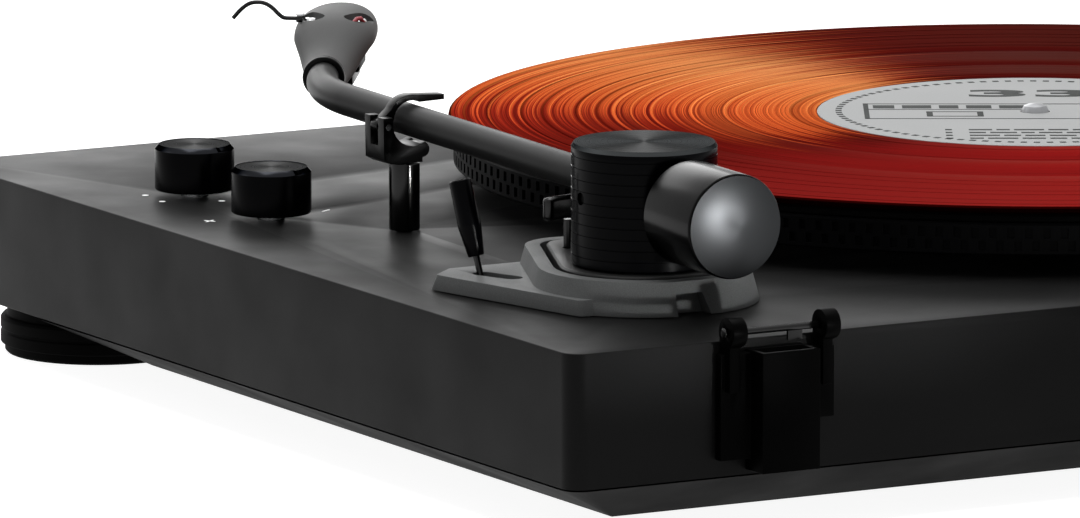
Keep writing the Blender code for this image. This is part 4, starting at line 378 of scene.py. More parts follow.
@dataclass(frozen=True)
class GroovedVinyl:
    """Pressed translucent orange-red vinyl, cut with grooves, its colour painted by angle with
    highlight and shade.

    The grooves stretch a light into a fan through the spindle. Their true pitch, 0.1 mm, is too
    fine to show, so the bands drawn here are about ten times as wide. The colours go by angle in
    degrees, from the camera's left towards the far side, over the vinyl's own deep red. The orange
    fan from the camera's left towards the far side is a painted highlight. The dark sectors at the
    far side, and a narrow one between the left and the near side, are painted shade.
    """

    name: str = "pressed_vinyl_orange"
    roughness: float = 0.36
    gloss_spread: float = 0.08
    metallic: float = 0.22
    anisotropy: float = 0.8
    edge_tint: str = "#c8603a"
    band_mm: float = 1.1
    fine_mm: float = 0.28
    groove_mm: float = 0.02
    groove_strength: float = 0.5
    sheen_streak_shift: float = 0.27
    fine_tones: Point = (0.28, 0.90)
    band_tones: Point = (0.66, 1.24)
    # Colours by angle for the inner, middle and outer parts of the disc: the bright orange stops
    # are a painted highlight and the near-black stops are painted shade, over the vinyl's own deep
    # red.
    inner: tuple[tuple[float, str], ...] = (
        (-180, "#8a1a1a"), (-130, "#8e1d1c"), (-95, "#9a2120"), (-60, "#861e1d"),
        (-44, "#4c1210"), (-36, "#7a2014"), (-28, "#cc5a2c"), (5, "#d96a34"), (30, "#e8894a"),
        (48, "#ee9c5c"), (60, "#7c2414"), (70, "#3a100f"), (110, "#481210"), (150, "#6c1815"),
        (180, "#8a1a1a"))
    middle: tuple[tuple[float, str], ...] = (
        (-180, "#821a19"), (-130, "#8a1d1c"), (-92, "#982120"), (-55, "#841e1c"),
        (-34, "#58140f"), (-18, "#6c1b13"), (-6, "#8e2c1a"), (3, "#c8542a"), (14, "#d66a34"),
        (32, "#e68a4c"), (48, "#f0a868"), (60, "#842a16"), (70, "#380e0e"), (106, "#3c0f0e"),
        (145, "#641715"), (180, "#821a19"))
    outer: tuple[tuple[float, str], ...] = (
        (-180, "#7a1a18"), (-130, "#861d1c"), (-90, "#9a2222"), (-50, "#841e1c"),
        (-30, "#58140f"), (-12, "#781e15"), (0, "#942a1b"), (8, "#c4502a"), (18, "#d66832"),
        (34, "#e68a4c"), (48, "#eea060"), (58, "#8c3018"), (68, "#360e0e"), (104, "#340d0c"),
        (140, "#581513"), (180, "#7a1a18"))
    middle_radii: Point = (0.068, 0.096)
    outer_radii: Point = (0.104, 0.134)
    camera_left_azimuth: float = -29.25
    radius: float = 0.1508
    gap_half: float = 0.0006
    # Painted shade on the gaps and painted highlight on the sunk rings, as levels that the colour
    # is multiplied by.
    gap_shade: float = 0.30
    ring_highlight: float = 1.45
    # Painted shade: the colour falls to 0.06 on the disc's outer edge.
    edge: tuple[Point, ...] = ((0.1497, 1.0), (0.1502, 0.06))

    def colour_and_painted_sheen(self, surface: Surface, share: Socket,
                stops: Sequence[tuple[float, str]]) -> Socket:
        """Read the colour, with its painted highlight and painted shade, off one of its tables.

        Args:
            surface: The material's graph.
            share: The angle as a share of a turn.
            stops: The table.

        Returns:
            The colour.
        """
        return surface.ramp(share, [((angle + 180) / 360, linear(colour))
                                    for angle, colour in stops])

    def tracks(self, surface: Surface, radius: Socket) -> Socket:
        """Paint shade on the gaps and on the outer edge, and paint highlights on the sunk rings.

        Args:
            surface: The material's graph.
            radius: The distance from the spindle.

        Returns:
            The level by which the colour is multiplied.
        """
        stops = [(0.0, 1.0)]
        for line in sorted(SHADED_GAPS + HIGHLIT_RINGS):
            level = self.gap_shade if line in SHADED_GAPS else self.ring_highlight
            stops += [(line - self.gap_half, 1.0), (line, level), (line + self.gap_half, 1.0)]
        return surface.ramp(surface.math("MULTIPLY", radius, 1 / self.radius),
                            [(place / self.radius, (level, level, level, 1.0))
                             for place, level in [*stops, *self.edge]])

    def build(self) -> Material:
        """Make the material about the record's own axis.

        Returns:
            The material.
        """
        surface = Surface(self.name)
        moved = surface.node("ShaderNodeMapping", {
            "Vector": surface.place, "Location": tuple(-SPINDLE)}, vector_type="POINT")
        flat = surface.vector("MULTIPLY", moved.outputs[0], (1.0, 1.0, 0.0))
        radius = surface.vector("LENGTH", flat)
        bands = surface.noise(radius, self.band_mm, 2.0)
        fine = surface.noise(radius, self.fine_mm, 1.0)
        facing = surface.node("ShaderNodeVectorRotate", {
            "Vector": flat, "Angle": math.radians(-self.camera_left_azimuth)}, rotation_type="Z_AXIS")
        parts = surface.node("ShaderNodeSeparateXYZ", {0: facing.outputs[0]}).outputs
        angle = surface.math("ARCTAN2", surface.math("MULTIPLY", parts["Y"], -1.0), parts["X"])
        # Band noise shifts the angle, so the edges of the painted highlight and the painted shade
        # run in streaks.
        shift = surface.remap(bands, NOISE_WIDE, (-self.sheen_streak_shift, self.sheen_streak_shift))
        share = surface.remap(surface.math("ADD", angle, shift), (-math.pi, math.pi))
        # The colour by angle carries the painted highlight and painted shade, blended between the
        # three parts of the disc.
        colour_and_painted_sheen = self.colour_and_painted_sheen(surface, share, self.inner)
        for radii, stops in ((self.middle_radii, self.middle), (self.outer_radii, self.outer)):
            colour_and_painted_sheen = surface.node("ShaderNodeMix", {
                0: surface.remap(radius, radii), 6: colour_and_painted_sheen,
                7: self.colour_and_painted_sheen(surface, share, stops)}, data_type="RGBA").outputs[2]
        tone = surface.math("MULTIPLY", surface.remap(fine, NOISE_WIDE, self.fine_tones),
                            surface.remap(bands, NOISE_WIDE, self.band_tones))
        level = surface.math("MULTIPLY", tone, self.tracks(surface, radius))
        around = surface.vector("CROSS_PRODUCT", flat, (0.0, 0.0, 1.0))
        gloss = surface.remap(bands, NOISE_MIDDLE, (self.roughness - self.gloss_spread,
                                                    self.roughness + self.gloss_spread))
        return surface.finished({
            "Base Color": surface.vector("SCALE", colour_and_painted_sheen, level), "Roughness": gloss,
            "Metallic": self.metallic, "Specular IOR Level": 0.0,
            "Specular Tint": linear(self.edge_tint), "Anisotropic": self.anisotropy,
            "Tangent": surface.vector("NORMALIZE", around),
            "Normal": surface.bump(surface.math("ADD", bands, fine), self.groove_strength,
                                   self.groove_mm)})


FINISHES = (
    # Vinyl film with a fine leather-like emboss over fibreboard: satin, slightly speckled.
    Finish("vinyl_wrap_black", "#0a0a0a", 0.5, specular=0.064, grain_mm=0.35,
           grain_height_mm=0.02, tone_share=0.22),
    # Moulded ABS, spark-eroded mould: even matt black.
    Finish("moulded_abs_black", "#020202", 0.42, specular=0.012, grain_mm=0.3,
           grain_height_mm=0.012),
    Finish("moulded_abs_cover", "#030303", 0.50, specular=0.01, grain_mm=0.5,
           grain_height_mm=0.02),
    # Rubber: the mattest surface, with a dusty bloom.
    Finish("rubber_black", "#060606", 0.72, specular=0.03, tone_share=0.2, grain_mm=0.6),
    # Die-cast aluminium under satin black paint.
    Finish("cast_aluminium_painted", "#0a0a0b", 0.42, specular=0.03, grain_mm=0.5),
    # Baked satin paint on a drawn aluminium tube, and a lighter grey on the cast headshell.
    Finish("satin_paint_graphite", "#202020", 0.40, specular=0.05, grain_mm=0.25,
           grain_height_mm=0.004, tone_share=0.04),
    Finish("satin_paint_hood", "#5a5a5a", 0.46, specular=0.01, grain_mm=0.25,
           grain_height_mm=0.004, tone_share=0.04),
    # Glass-filled moulding in satin grey: fine sparkle of the filler at the surface.
    Finish("moulded_nylon_grey", "#585959", 0.44, specular=0.02, grain_mm=0.22,
           grain_height_mm=0.015, tone_share=0.16),
    # Polished ABS and gloss enamel: black with faint reflections, the enamel's the sharper.
    Finish("polished_abs_black", "#040404", 0.3, specular=0.06, grain_mm=1.0,
           grain_height_mm=0.002, gloss_spread=0.03),
    Finish("gloss_enamel_black", "#020202", 0.17, specular=0.22, grain_mm=2.0,
           grain_height_mm=0.002, gloss_spread=0.03),
    # Black anodised aluminium: the weight's barrel, and the sides of the knobs and the drum.
    Finish("blasted_barrel_black", "#010101", 0.2, specular=0.08, grain_mm=0.3,
           grain_height_mm=0.004, gloss_spread=0.02),
    Finish("anodised_black_sides", "#010102", 0.24, specular=0.03, grain_mm=0.4,
           grain_height_mm=0.003, gloss_spread=0.03),
    Finish("nickel_steel", "#c9cacc", 0.24, metallic=1.0, grain_mm=0.5,
           grain_height_mm=0.002, tone_share=0.03),
    Finish("satin_steel", "#8c8d8f", 0.38, metallic=1.0, grain_mm=0.5,
           grain_height_mm=0.002, tone_share=0.03),
    Finish("turned_brass_gilt", "#c9a25a", 0.26, metallic=1.0, grain_mm=0.5,
           grain_height_mm=0.002, tone_share=0.05),
    Finish("paper_label_grey", "#969797", 0.66, specular=0.05, grain_mm=0.5,
           grain_height_mm=0.006, tone_share=0.03),
    Finish("print_black", "#1c1f1e", 0.6, specular=0.08, tone_share=0.1),
    Finish("print_white", "#ffffff", 0.6, specular=0.3, tone_share=0.02),
    Finish("laminate_green", "#1c5a33", 0.4, grain_mm=0.8, tone_share=0.1),
    Finish("lead_red", "#8f1f2c", 0.4, grain_mm=0.6, tone_share=0.08),
)


class Paint:
    """The plain finishes of the scene, built once and handed out by name."""

    def __init__(self) -> None:
        """Build the materials."""
        self.by_name = {finish.name: finish.build() for finish in FINISHES}

    def __getitem__(self, name: str) -> Material:
        """A material by its name."""
        return self.by_name[name]


# ---------------------------------------------------------------- mesh helpers


def linked(name: str, data: bpy.types.ID) -> bpy.types.Object:
    """Put a mesh, a curve, a lamp or a camera in the scene.

    Args:
        name: Name of the object.
        data: What it holds.

    Returns:
        The object.
    """
    thing = bpy.data.objects.new(name, data)
    bpy.context.scene.collection.objects.link(thing)
    return thing


def evaluated(thing: bpy.types.Object, *tools: bpy.types.Object) -> Mesh:
    """Take an object's mesh with its modifiers applied, and remove the object.

    Args:
        thing: The object.
        tools: Objects that its modifiers use, removed as well.

    Returns:
        The mesh.
    """
    graph = bpy.context.evaluated_depsgraph_get()
    mesh = bpy.data.meshes.new_from_object(thing.evaluated_get(graph))
    for spare in (thing, *tools):
        bpy.data.objects.remove(spare, do_unlink=True)
    return mesh


def arc(centre: Point, radius: float, start: float, end: float, steps: int) -> list[Point]:
    """Lay points on an arc, both its ends among them.

    Args:
        centre: Centre of the arc.
        radius: Its radius.
        start: Angle of its start, in degrees.
        end: Angle of its end.
        steps: Segments from end to end.

    Returns:
        The points.
    """
    return [(centre[0] + radius * math.cos(math.radians(start + (end - start) * i / steps)),
             centre[1] + radius * math.sin(math.radians(start + (end - start) * i / steps)))
            for i in range(steps + 1)]


def moved(points: Profile, x: float, y: float) -> list[Point]:
    """Profile points moved by a distance each way."""
    return [(x + across, y + up) for across, up in points]


def rounded_profile(points: Profile, radius: float, steps: int = 3) -> list[Point]:
    """Round every inner corner of an open profile, less where a side is short.

    Args:
        points: Profile points; the first and last stay as they are.
        radius: Radius of the corners.
        steps: Segments of each corner.

    Returns:
        The profile with arcs for corners.
    """
    straight = math.radians(176)
    share_of_side = 0.45
    result = [tuple(points[0])]
    for before, corner, after in zip(points, points[1:], points[2:]):
        here = Vector(corner)
        back, ahead = Vector(before) - here, Vector(after) - here
        angle = back.angle(ahead) if back.length and ahead.length else math.pi
        reach = min(radius / math.tan(angle / 2), back.length * share_of_side,
                    ahead.length * share_of_side)
        if angle > straight or reach < WELD:
            result.append(tuple(here))
            continue
        start, end = here + back.normalized() * reach, here + ahead.normalized() * reach
        for i in range(steps + 1):
            t = i / steps
            point = start * (1 - t) ** 2 + here * 2 * t * (1 - t) + end * t ** 2
            result.append((point.x, point.y))
    result.append(tuple(points[-1]))
    return result


def smooth_mesh(shape: bmesh.types.BMesh, name: str) -> Mesh:
    """Turn a bmesh into a mesh that is smooth but for edges of more than SHARP.

    Args:
        shape: The bmesh, which is freed.
        name: Name of the new mesh.

    Returns:
        The mesh.
    """
    mesh = bpy.data.meshes.new(name)
    shape.to_mesh(mesh)
    shape.free()
    mesh.shade_smooth()
    mesh.set_sharp_from_angle(angle=SHARP)
    return mesh


def finish_mesh(shape: bmesh.types.BMesh, name: str, recalculate: bool = True) -> Mesh:
    """Close a bmesh's seams and poles, point its faces outwards and shade it smooth.

    Args:
        shape: The bmesh, which is freed.
        name: Name of the new mesh.
        recalculate: Whether the faces' directions are worked out anew.

    Returns:
        The mesh.
    """
    bmesh.ops.remove_doubles(shape, verts=shape.verts, dist=WELD)
    if recalculate:
        bmesh.ops.recalc_face_normals(shape, faces=shape.faces)
    return smooth_mesh(shape, name)


def lathe(name: str, profile: Profile, steps: int = 96, loop: bool = False) -> Mesh:
    """Turn a profile about Z.

    Args:
        name: Name of the mesh.
        profile: Radius and height of each point.
        steps: Segments of the turn.
        loop: Whether the profile closes on itself.

    Returns:
        The turned mesh.
    """
    shape = bmesh.new()
    points = [shape.verts.new((radius, 0.0, height)) for radius, height in profile]
    edges = [shape.edges.new(pair) for pair in zip(points, points[1:])]
    if loop:
        edges.append(shape.edges.new((points[-1], points[0])))
    bmesh.ops.spin(shape, geom=points + edges, cent=(0, 0, 0), axis=(0, 0, 1),
                   angle=math.tau, steps=steps)
    no_area = 1e-14
    flat = [face for face in shape.faces if face.calc_area() < no_area]
    bmesh.ops.delete(shape, geom=flat, context="FACES_ONLY")
    return finish_mesh(shape, name)


def prism(name: str, outline: Profile, low: float, high: float) -> Mesh:
    """Draw a flat outline up from one height to another.

    Args:
        name: Name of the mesh.
        outline: The outline.
        low: Lower height.
        high: Upper height.

    Returns:
        A closed mesh.
    """
    curve = bpy.data.curves.new(name, "CURVE")
    curve.dimensions, curve.fill_mode, curve.extrude = "2D", "BOTH", (high - low) / 2
    spline = curve.splines.new("POLY")
    spline.points.add(len(outline) - 1)
    spline.use_cyclic_u = True
    for target, (x, y) in zip(spline.points, outline):
        target.co = (x, y, 0.0, 1.0)
    shape = bmesh.new()
    shape.from_mesh(evaluated(linked(name, curve)))
    bmesh.ops.translate(shape, verts=shape.verts, vec=(0, 0, (high + low) / 2))
    return finish_mesh(shape, name)


def skin(name: str, rings: Sequence[Sequence[Vector]]) -> Mesh:
    """Draw a closed skin over rings of equal counts, capped at both ends.

    Args:
        name: Name of the mesh.
        rings: The rings' points, ring after ring.

    Returns:
        The mesh.
    """
    shape = bmesh.new()
    rows = [[shape.verts.new(point) for point in ring] for ring in rings]
    for lower, upper in zip(rows, rows[1:]):
        for i in range(len(lower)):
            j = (i + 1) % len(lower)
            shape.faces.new((lower[i], lower[j], upper[j], upper[i]))
    shape.faces.new(rows[0][::-1])
    shape.faces.new(rows[-1])
    return finish_mesh(shape, name)


def swept(name: str, path: Sequence[Vector], radius: float, sides: int = 24) -> Mesh:
    """Draw a round bar along a path, with its ring planes square to the path.

    Args:
        name: Name of the mesh.
        path: Points of the middle line.
        radius: Radius of the bar.
        sides: Points of each ring.

    Returns:
        The mesh.
    """
    rings = []
    side = None
    for i, point in enumerate(path):
        ahead = (path[min(i + 1, len(path) - 1)] - path[max(i - 1, 0)]).normalized()
        side = (ahead.orthogonal() if side is None else side - ahead * side.dot(ahead))
        side.normalize()
        up = ahead.cross(side)
        rings.append([point + radius * (side * math.cos(a) + up * math.sin(a))
                      for a in (2 * math.pi * k / sides for k in range(sides))])
    return skin(name, rings)


def cuboid(name: str, size: Sequence[float], centre: Sequence[float]) -> Mesh:
    """Make a block, for cuts and for bevelled pieces.

    Args:
        name: Name of the mesh.
        size: Its three sides.
        centre: Its centre.

    Returns:
        The mesh.
    """
    shape = bmesh.new()
    bmesh.ops.create_cube(shape, size=1.0)
    bmesh.ops.scale(shape, vec=Vector(size), verts=shape.verts)
    bmesh.ops.translate(shape, vec=Vector(centre), verts=shape.verts)
    return finish_mesh(shape, name)


def placed(mesh: Mesh, matrix: Matrix) -> Mesh:
    """Move a mesh's own points by a matrix."""
    mesh.transform(matrix)
    return mesh


def at(point: Sequence[float], facing: Facing = Facing.UP, turn: float = 0.0) -> Matrix:
    """Work out how a piece stands.

    Args:
        point: Where its origin goes.
        facing: Which way its axis points.
        turn: How far it turns about that axis, in radians.

    Returns:
        The matrix that puts it there.
    """
    return (Matrix.Translation(Vector(point)) @ Euler(facing.value).to_matrix().to_4x4()
            @ Matrix.Rotation(turn, 4, "Z"))


def foot_of(node: str) -> Place:
    """The point at height nought under the middle of a CAD node."""
    low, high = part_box(node)
    return ((low.x + high.x) / 2, (low.y + high.y) / 2, 0.0)


def joined(name: str, meshes: Sequence[Mesh]) -> Mesh:
    """Put several meshes in one, each still a closed shell of its own.

    Args:
        name: Name of the result.
        meshes: The meshes.

    Returns:
        The one mesh.
    """
    shape = bmesh.new()
    for mesh in meshes:
        shape.from_mesh(mesh)
    return smooth_mesh(shape, name)


def worked(name: str, mesh: Mesh, cuts: Sequence[Mesh] = (),
           bevel: float = 0.0, segments: int = 2) -> Mesh:
    """Cut from a mesh and soften its sharp edges.

    Args:
        name: Name of the result.
        mesh: The mesh to start from.
        cuts: Closed meshes to take away.
        bevel: Width of the softened edges.
        segments: Segments across an edge.

    Returns:
        The finished mesh, with no modifier left.
    """
    thing = linked(name, mesh)
    tools = [linked(name + "_tool", cut) for cut in cuts]
    for tool in tools:
        step = thing.modifiers.new("cut", "BOOLEAN")
        step.operation, step.solver, step.object = "DIFFERENCE", "EXACT", tool
    if bevel:
        edge = thing.modifiers.new("edges", "BEVEL")
        edge.width, edge.segments, edge.limit_method = bevel, segments, "ANGLE"
        edge.angle_limit, edge.harden_normals = SHARP, False
    shape = bmesh.new()
    shape.from_mesh(evaluated(thing, *tools))
    return finish_mesh(shape, name, recalculate=False)


def softened(node: str, bevel: float, segments: int = 2) -> Mesh:
    """Copy a CAD node, dissolve its flats and round its sharp edges.

    Args:
        node: The CAD node.
        bevel: Width of the rounded edges.
        segments: Segments across an edge.

    Returns:
        The mesh.
    """
    shape = bmesh.new()
    shape.from_mesh(frame["nodes"][node].data)
    bmesh.ops.remove_doubles(shape, verts=shape.verts, dist=5 * WELD)
    bmesh.ops.dissolve_limit(shape, angle_limit=math.radians(1.0), verts=shape.verts,
                             edges=shape.edges)
    copy = bpy.data.meshes.new(node + "_copy")
    shape.to_mesh(copy)
    shape.free()
    return worked(node + "_soft", copy, bevel=bevel, segments=segments)


def show(name: str, mesh: Mesh, body: Body, material: Material,
         replaces: Sequence[str] = ()) -> bpy.types.Object:
    """Make a finished mesh a piece of the object.

    Args:
        name: Name of the piece.
        mesh: Its mesh, in the frame's own coordinates.
        body: The body that it rides on.
        material: Its finish.
        replaces: CAD nodes that it is shown instead of.

    Returns:
        The piece's object, at the origin.
    """
    mesh.materials.clear()
    mesh.materials.append(material)
    for polygon in mesh.polygons:
        polygon.material_index = 0
    piece = linked(name, mesh)
    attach(piece, body.value)
    if replaces:
        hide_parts(*replaces)
    LOG.info("%s: %d faces on %s", name, len(mesh.polygons), body.value)
    return piece


def paint_nodes(material: Material, *nodes: str) -> None:
    """Give CAD nodes that stay a material.

    Args:
        material: The material.
        nodes: Names of the nodes.
    """
    for node in nodes:
        data = frame["nodes"][node].data
        data.materials.clear()
        data.materials.append(material)


@dataclass(frozen=True)
class Moulding:
    """A CAD node that is shown as a copy of itself with rounded edges."""

    name: str
    node: str
    body: Body
    finish: str
    slot: str
    bevel: float
    segments: int = 2

    def build(self, paint: Paint) -> None:
        """Soften the node and show it."""
        show(self.name, softened(self.node, self.bevel, self.segments), self.body,
             paint[self.finish], [self.node])


class Repeater:
    """A Geometry Nodes tree that sets copies of one cell round an axis."""

    def __init__(self) -> None:
        """Build the tree with its named inputs."""
        self.tree = bpy.data.node_groups.new("repeat_cells", "GeometryNodeTree")
        face = self.tree.interface
        self.ids = {}
        for name, kind in (("Cell", "Object"), ("Count", "Int"), ("Turn", "Float"),
                           ("Weld", "Float"), ("Material", "Material")):
            self.ids[name] = face.new_socket(name, in_out="INPUT",
                                             socket_type="NodeSocket" + kind).identifier
        face.new_socket("Geometry", in_out="OUTPUT", socket_type="NodeSocketGeometry")
        graph = Graph(self.tree)
        given = graph.node("NodeGroupInput").outputs
        cell = graph.node("GeometryNodeObjectInfo", {"Object": given["Cell"]})
        points = graph.node("GeometryNodeMeshLine", {
            "Count": given["Count"], "Offset": (0.0, 0.0, 0.0)}, mode="OFFSET")
        angle = graph.math("MULTIPLY", graph.node("GeometryNodeInputIndex").outputs[0],
                           given["Turn"])
        copies = graph.node("GeometryNodeInstanceOnPoints", {
            "Points": points.outputs[0], "Instance": cell.outputs["Geometry"],
            "Rotation": graph.node("ShaderNodeCombineXYZ", {"Z": angle}).outputs[0]})
        real = graph.node("GeometryNodeRealizeInstances", {0: copies.outputs[0]})
        weld = graph.node("GeometryNodeMergeByDistance", {
            "Geometry": real.outputs[0], "Distance": given["Weld"]})
        coloured = graph.node("GeometryNodeSetMaterial", {
            "Geometry": weld.outputs[0], "Material": given["Material"]})
        graph.node("NodeGroupOutput", {0: coloured.outputs[0]})

    def run(self, name: str, cell: Mesh, count: int, material: Material,
            turn: float, weld: float = 0.0) -> Mesh:
        """Repeat a cell and turn the result into a plain mesh.

        Args:
            name: Name of the mesh.
            cell: The mesh to repeat, about the origin.
            count: How many copies.
            material: The material of the result.
            turn: Angle from each copy to the next, in radians about Z.
            weld: Distance at which points of neighbours become one.

        Returns:
            The repeated mesh, about the origin.
        """
        source = linked(name + "_cell", cell)
        holder = linked(name, bpy.data.meshes.new(name))
        modifier = holder.modifiers.new("repeat", "NODES")
        modifier.node_group = self.tree
        for key, value in (("Cell", source), ("Count", count), ("Turn", turn),
                           ("Weld", weld), ("Material", material)):
            modifier[self.ids[key]] = value
        return evaluated(holder, source)


# ---------------------------------------------------------------- sub-assemblies


@dataclass
class Plinth:
    """The plinth, its bottom cover, its feet and the marks printed on the deck.

    The marks' places are their distances from the plinth's right side and rear.
    """

    edge: float = 0.0002
    foot_steps: int = 96
    foot_core: float = 0.004
    foot_edge: float = 0.0003
    tread: tuple[Point, ...] = (
        (0.0240, 0.0145), (0.0240, 0.0098), (0.0251, 0.0097), (0.0257, 0.0090),
        (0.0257, 0.0066), (0.0252, 0.0063), (0.0252, 0.0058), (0.0257, 0.0055),
        (0.0257, 0.0027), (0.0246, 0.0024), (0.0246, 0.0006), (0.0240, 0.0), (0.0190, 0.0),
        (0.0180, 0.0006), (0.0, 0.0006))
    mark_lift: float = 0.00002
    mark_thickness: float = 0.00006
    dot_radius: float = 0.00085
    dot_sides: int = 24
    dots: tuple[Point, ...] = ((0.0195, 0.2468), (0.0331, 0.2401), (0.0202, 0.2575))
    plus: Point = (0.0159, 0.2141)
    minus: Point = (0.0491, 0.2139)
    stroke: float = 0.00055
    stroke_reach: float = 0.0016
    stroke_turn: float = 0.5

    def build(self, paint: Paint) -> None:
        """Dress the plinth, the cover and the feet, and print the deck.

        Args:
            paint: The materials.
        """
        Moulding("plinth_shell", "plinth", Body.CHASSIS, "vinyl_wrap_black", "plinth_wrap",
                 self.edge).build(paint)
        paint_nodes(paint["moulded_abs_cover"], "bottom_cover")
        for node in ("front_foot_left", "front_foot_right"):
            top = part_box(node)[1].z
            profile = [(0.0, top), (self.foot_core, top), (self.foot_core, self.tread[0][1]),
                       *self.tread]
            mesh = lathe(node + "_turned", rounded_profile(profile, self.foot_edge),
                         self.foot_steps)
            show(node + "_turned", placed(mesh, at(foot_of(node))), Body.CHASSIS,
                 paint["rubber_black"], [node])
        paint_nodes(paint["rubber_black"], "rear_foot_left", "rear_foot_right")
        self.print_marks(paint["print_white"])

    def print_marks(self, ink: Material) -> None:
        """Print dots, a plus and a minus beside the two knobs.

        Args:
            ink: The material of the print.
        """
        low = DECK_Z + self.mark_lift
        high = low + self.mark_thickness
        steps = self.dot_sides - 1
        end = 360 * steps / self.dot_sides
        marks = [prism("dot", arc((RIGHT_X - x, REAR_Y - y), self.dot_radius, 0, end, steps),
                       low, high) for x, y in self.dots]
        for (x, y), way in ((self.plus, 0.0), (self.plus, math.pi / 2), (self.minus, 0.0)):
            turn = way + self.stroke_turn
            along = Vector((math.cos(turn), math.sin(turn)))
            aside = Vector((-along.y, along.x)) * self.stroke / 2
            middle = Vector((RIGHT_X - x, REAR_Y - y))
            reach = self.stroke_reach
            corners = [middle + along * reach + aside, middle - along * reach + aside,
                       middle - along * reach - aside, middle + along * reach - aside]
            marks.append(prism("bar", [tuple(c) for c in corners], low, high))
        show("deck_marks", joined("deck_marks", marks), Body.CHASSIS, ink)


@dataclass
class Platter:
    """The platter with two staggered rows of recesses round its rim, its mat and spindle.

    Each of a cell's recesses is its row of the grid, its first column and the one after it.
    """

    radius: float = 0.1495
    bottom: float = 0.0055
    height: float = 0.0081
    rim_wall: float = 0.009
    web: float = 0.003
    edge: float = 0.0005
    cells: int = 212
    columns: int = 5
    recess: float = 0.0009
    recesses: tuple[tuple[int, int, int], ...] = ((3, 0, 2), (1, 2, 4))
    row_gap: float = 0.0007
    bore: float = 0.0038
    mat_radius: float = 0.1490
    mat_edge: float = 0.0006
    mat_steps: int = 256
    spindle_radius: float = 0.0035
    collar_radius: float = 0.0060
    collar_heights: Point = (0.0501, 0.0507)
    collar_slope: float = 0.0001
    tip: tuple[Point, ...] = ((0.0, 0.0), (0.0016, 0.0002), (0.0029, 0.0007), (0.0035, 0.0018))
    spindle_steps: int = 48

    def build(self, paint: Paint, repeat: Repeater) -> None:
        """Build the rim from one repeated cell and the rest on the lathe.

        Args:
            paint: The materials.
            repeat: The tree that repeats the cell.
        """
        body = paint["cast_aluminium_painted"]
        top = self.bottom + self.height
        inside = self.radius - self.rim_wall
        rim = repeat.run("rim", self.rim_cell(), self.cells, body,
                         turn=2 * math.pi / self.cells, weld=5 * WELD)
        profile = [(self.radius, top - self.edge), (self.radius - self.edge, top),
                   (self.bore, top), (self.bore, top - self.web), (inside, top - self.web),
                   (inside, self.bottom), (self.radius - self.edge, self.bottom),
                   (self.radius, self.bottom + self.edge)]
        shape = bmesh.new()
        shape.from_mesh(lathe("web", profile, self.cells * self.columns))
        shape.from_mesh(rim)
        bmesh.ops.remove_doubles(shape, verts=shape.verts, dist=10 * WELD)
        show("platter_cast", placed(finish_mesh(shape, "platter_cast"), at(SPINDLE)),
             Body.PLATTER, body, ["platter"])
        self.build_mat(paint)
        paint_nodes(paint["moulded_abs_black"], "sub_platter")
        paint_nodes(paint["turned_brass_gilt"], "bearing_housing", "motor_pulley")
        paint_nodes(paint["nickel_steel"], "drive_motor")
        paint_nodes(paint["rubber_black"], "drive_belt")

    def rim_cell(self) -> Mesh:
        """Model one cell of the rim: a recess in the upper row and one half a cell on below.

        Returns:
            The cell's mesh.
        """
        low, high = self.bottom + self.edge, self.bottom + self.height - self.edge
        middle = (low + high) / 2
        rows = (low, low + self.row_gap, middle - self.row_gap / 2, middle + self.row_gap / 2,
                high - self.row_gap, high)
        step = 2 * math.pi / self.cells
        shape = bmesh.new()

        def corner(column: int, row: int, depth: float) -> bmesh.types.BMVert:
            """Make a point of the grid.

            Args:
                column: Its place round the rim.
                row: Its place up the rim.
                depth: How far it is sunk.

            Returns:
                The point.
            """
            radius, angle = self.radius - depth, step * column / self.columns
            return shape.verts.new((radius * math.cos(angle), radius * math.sin(angle),
                                    rows[row]))

        for row in range(len(rows) - 1):
            for column in range(self.columns):
                hollow = any(row == r and start <= column < end
                             for r, start, end in self.recesses)
                depth = self.recess if hollow else 0.0
                shape.faces.new([corner(column, row, depth), corner(column + 1, row, depth),
                                 corner(column + 1, row + 1, depth),
                                 corner(column, row + 1, depth)])
        for row, start, end in self.recesses:
            for c, r1, r2 in ((start, row, row + 1), (end, row + 1, row)):
                shape.faces.new([corner(c, r1, 0.0), corner(c, r1, self.recess),
                                 corner(c, r2, self.recess), corner(c, r2, 0.0)][::-1])
            for column in range(start, end):
                for r, order in ((row, 1), (row + 1, -1)):
                    shape.faces.new([corner(column, r, 0.0), corner(column + 1, r, 0.0),
                                     corner(column + 1, r, self.recess),
                                     corner(column, r, self.recess)][::order])
        bmesh.ops.remove_doubles(shape, verts=shape.verts, dist=WELD)
        mesh = bpy.data.meshes.new("rim_cell")
        shape.to_mesh(mesh)
        shape.free()
        return mesh

    def build_mat(self, paint: Paint) -> None:
        """Turn the rubber mat under the record, and the spindle.

        Args:
            paint: The materials.
        """
        low, high = (corner.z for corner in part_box("slip_mat"))
        profile = [(self.bore, high), (self.mat_radius - self.mat_edge, high),
                   (self.mat_radius, high - self.mat_edge), (self.mat_radius, low + GAP),
                   (self.mat_radius - GAP, low), (self.bore, low)]
        mesh = lathe("mat_disc", profile, self.mat_steps, loop=True)
        show("mat_disc", placed(mesh, at(SPINDLE_FOOT)), Body.PLATTER, paint["rubber_black"],
             ["slip_mat"])
        low, high = (corner.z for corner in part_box("spindle"))
        radius, (below, above) = self.spindle_radius, self.collar_heights
        profile = [(r, high - drop) for r, drop in self.tip]
        profile += [(radius, above + self.collar_slope), (self.collar_radius, above),
                    (self.collar_radius, below), (radius, below - self.collar_slope),
                    (radius, low), (0.0, low)]
        mesh = lathe("spindle_turned", profile, self.spindle_steps)
        show("spindle_turned", placed(mesh, at(SPINDLE_FOOT)), Body.PLATTER,
             paint["satin_steel"], ["spindle"])


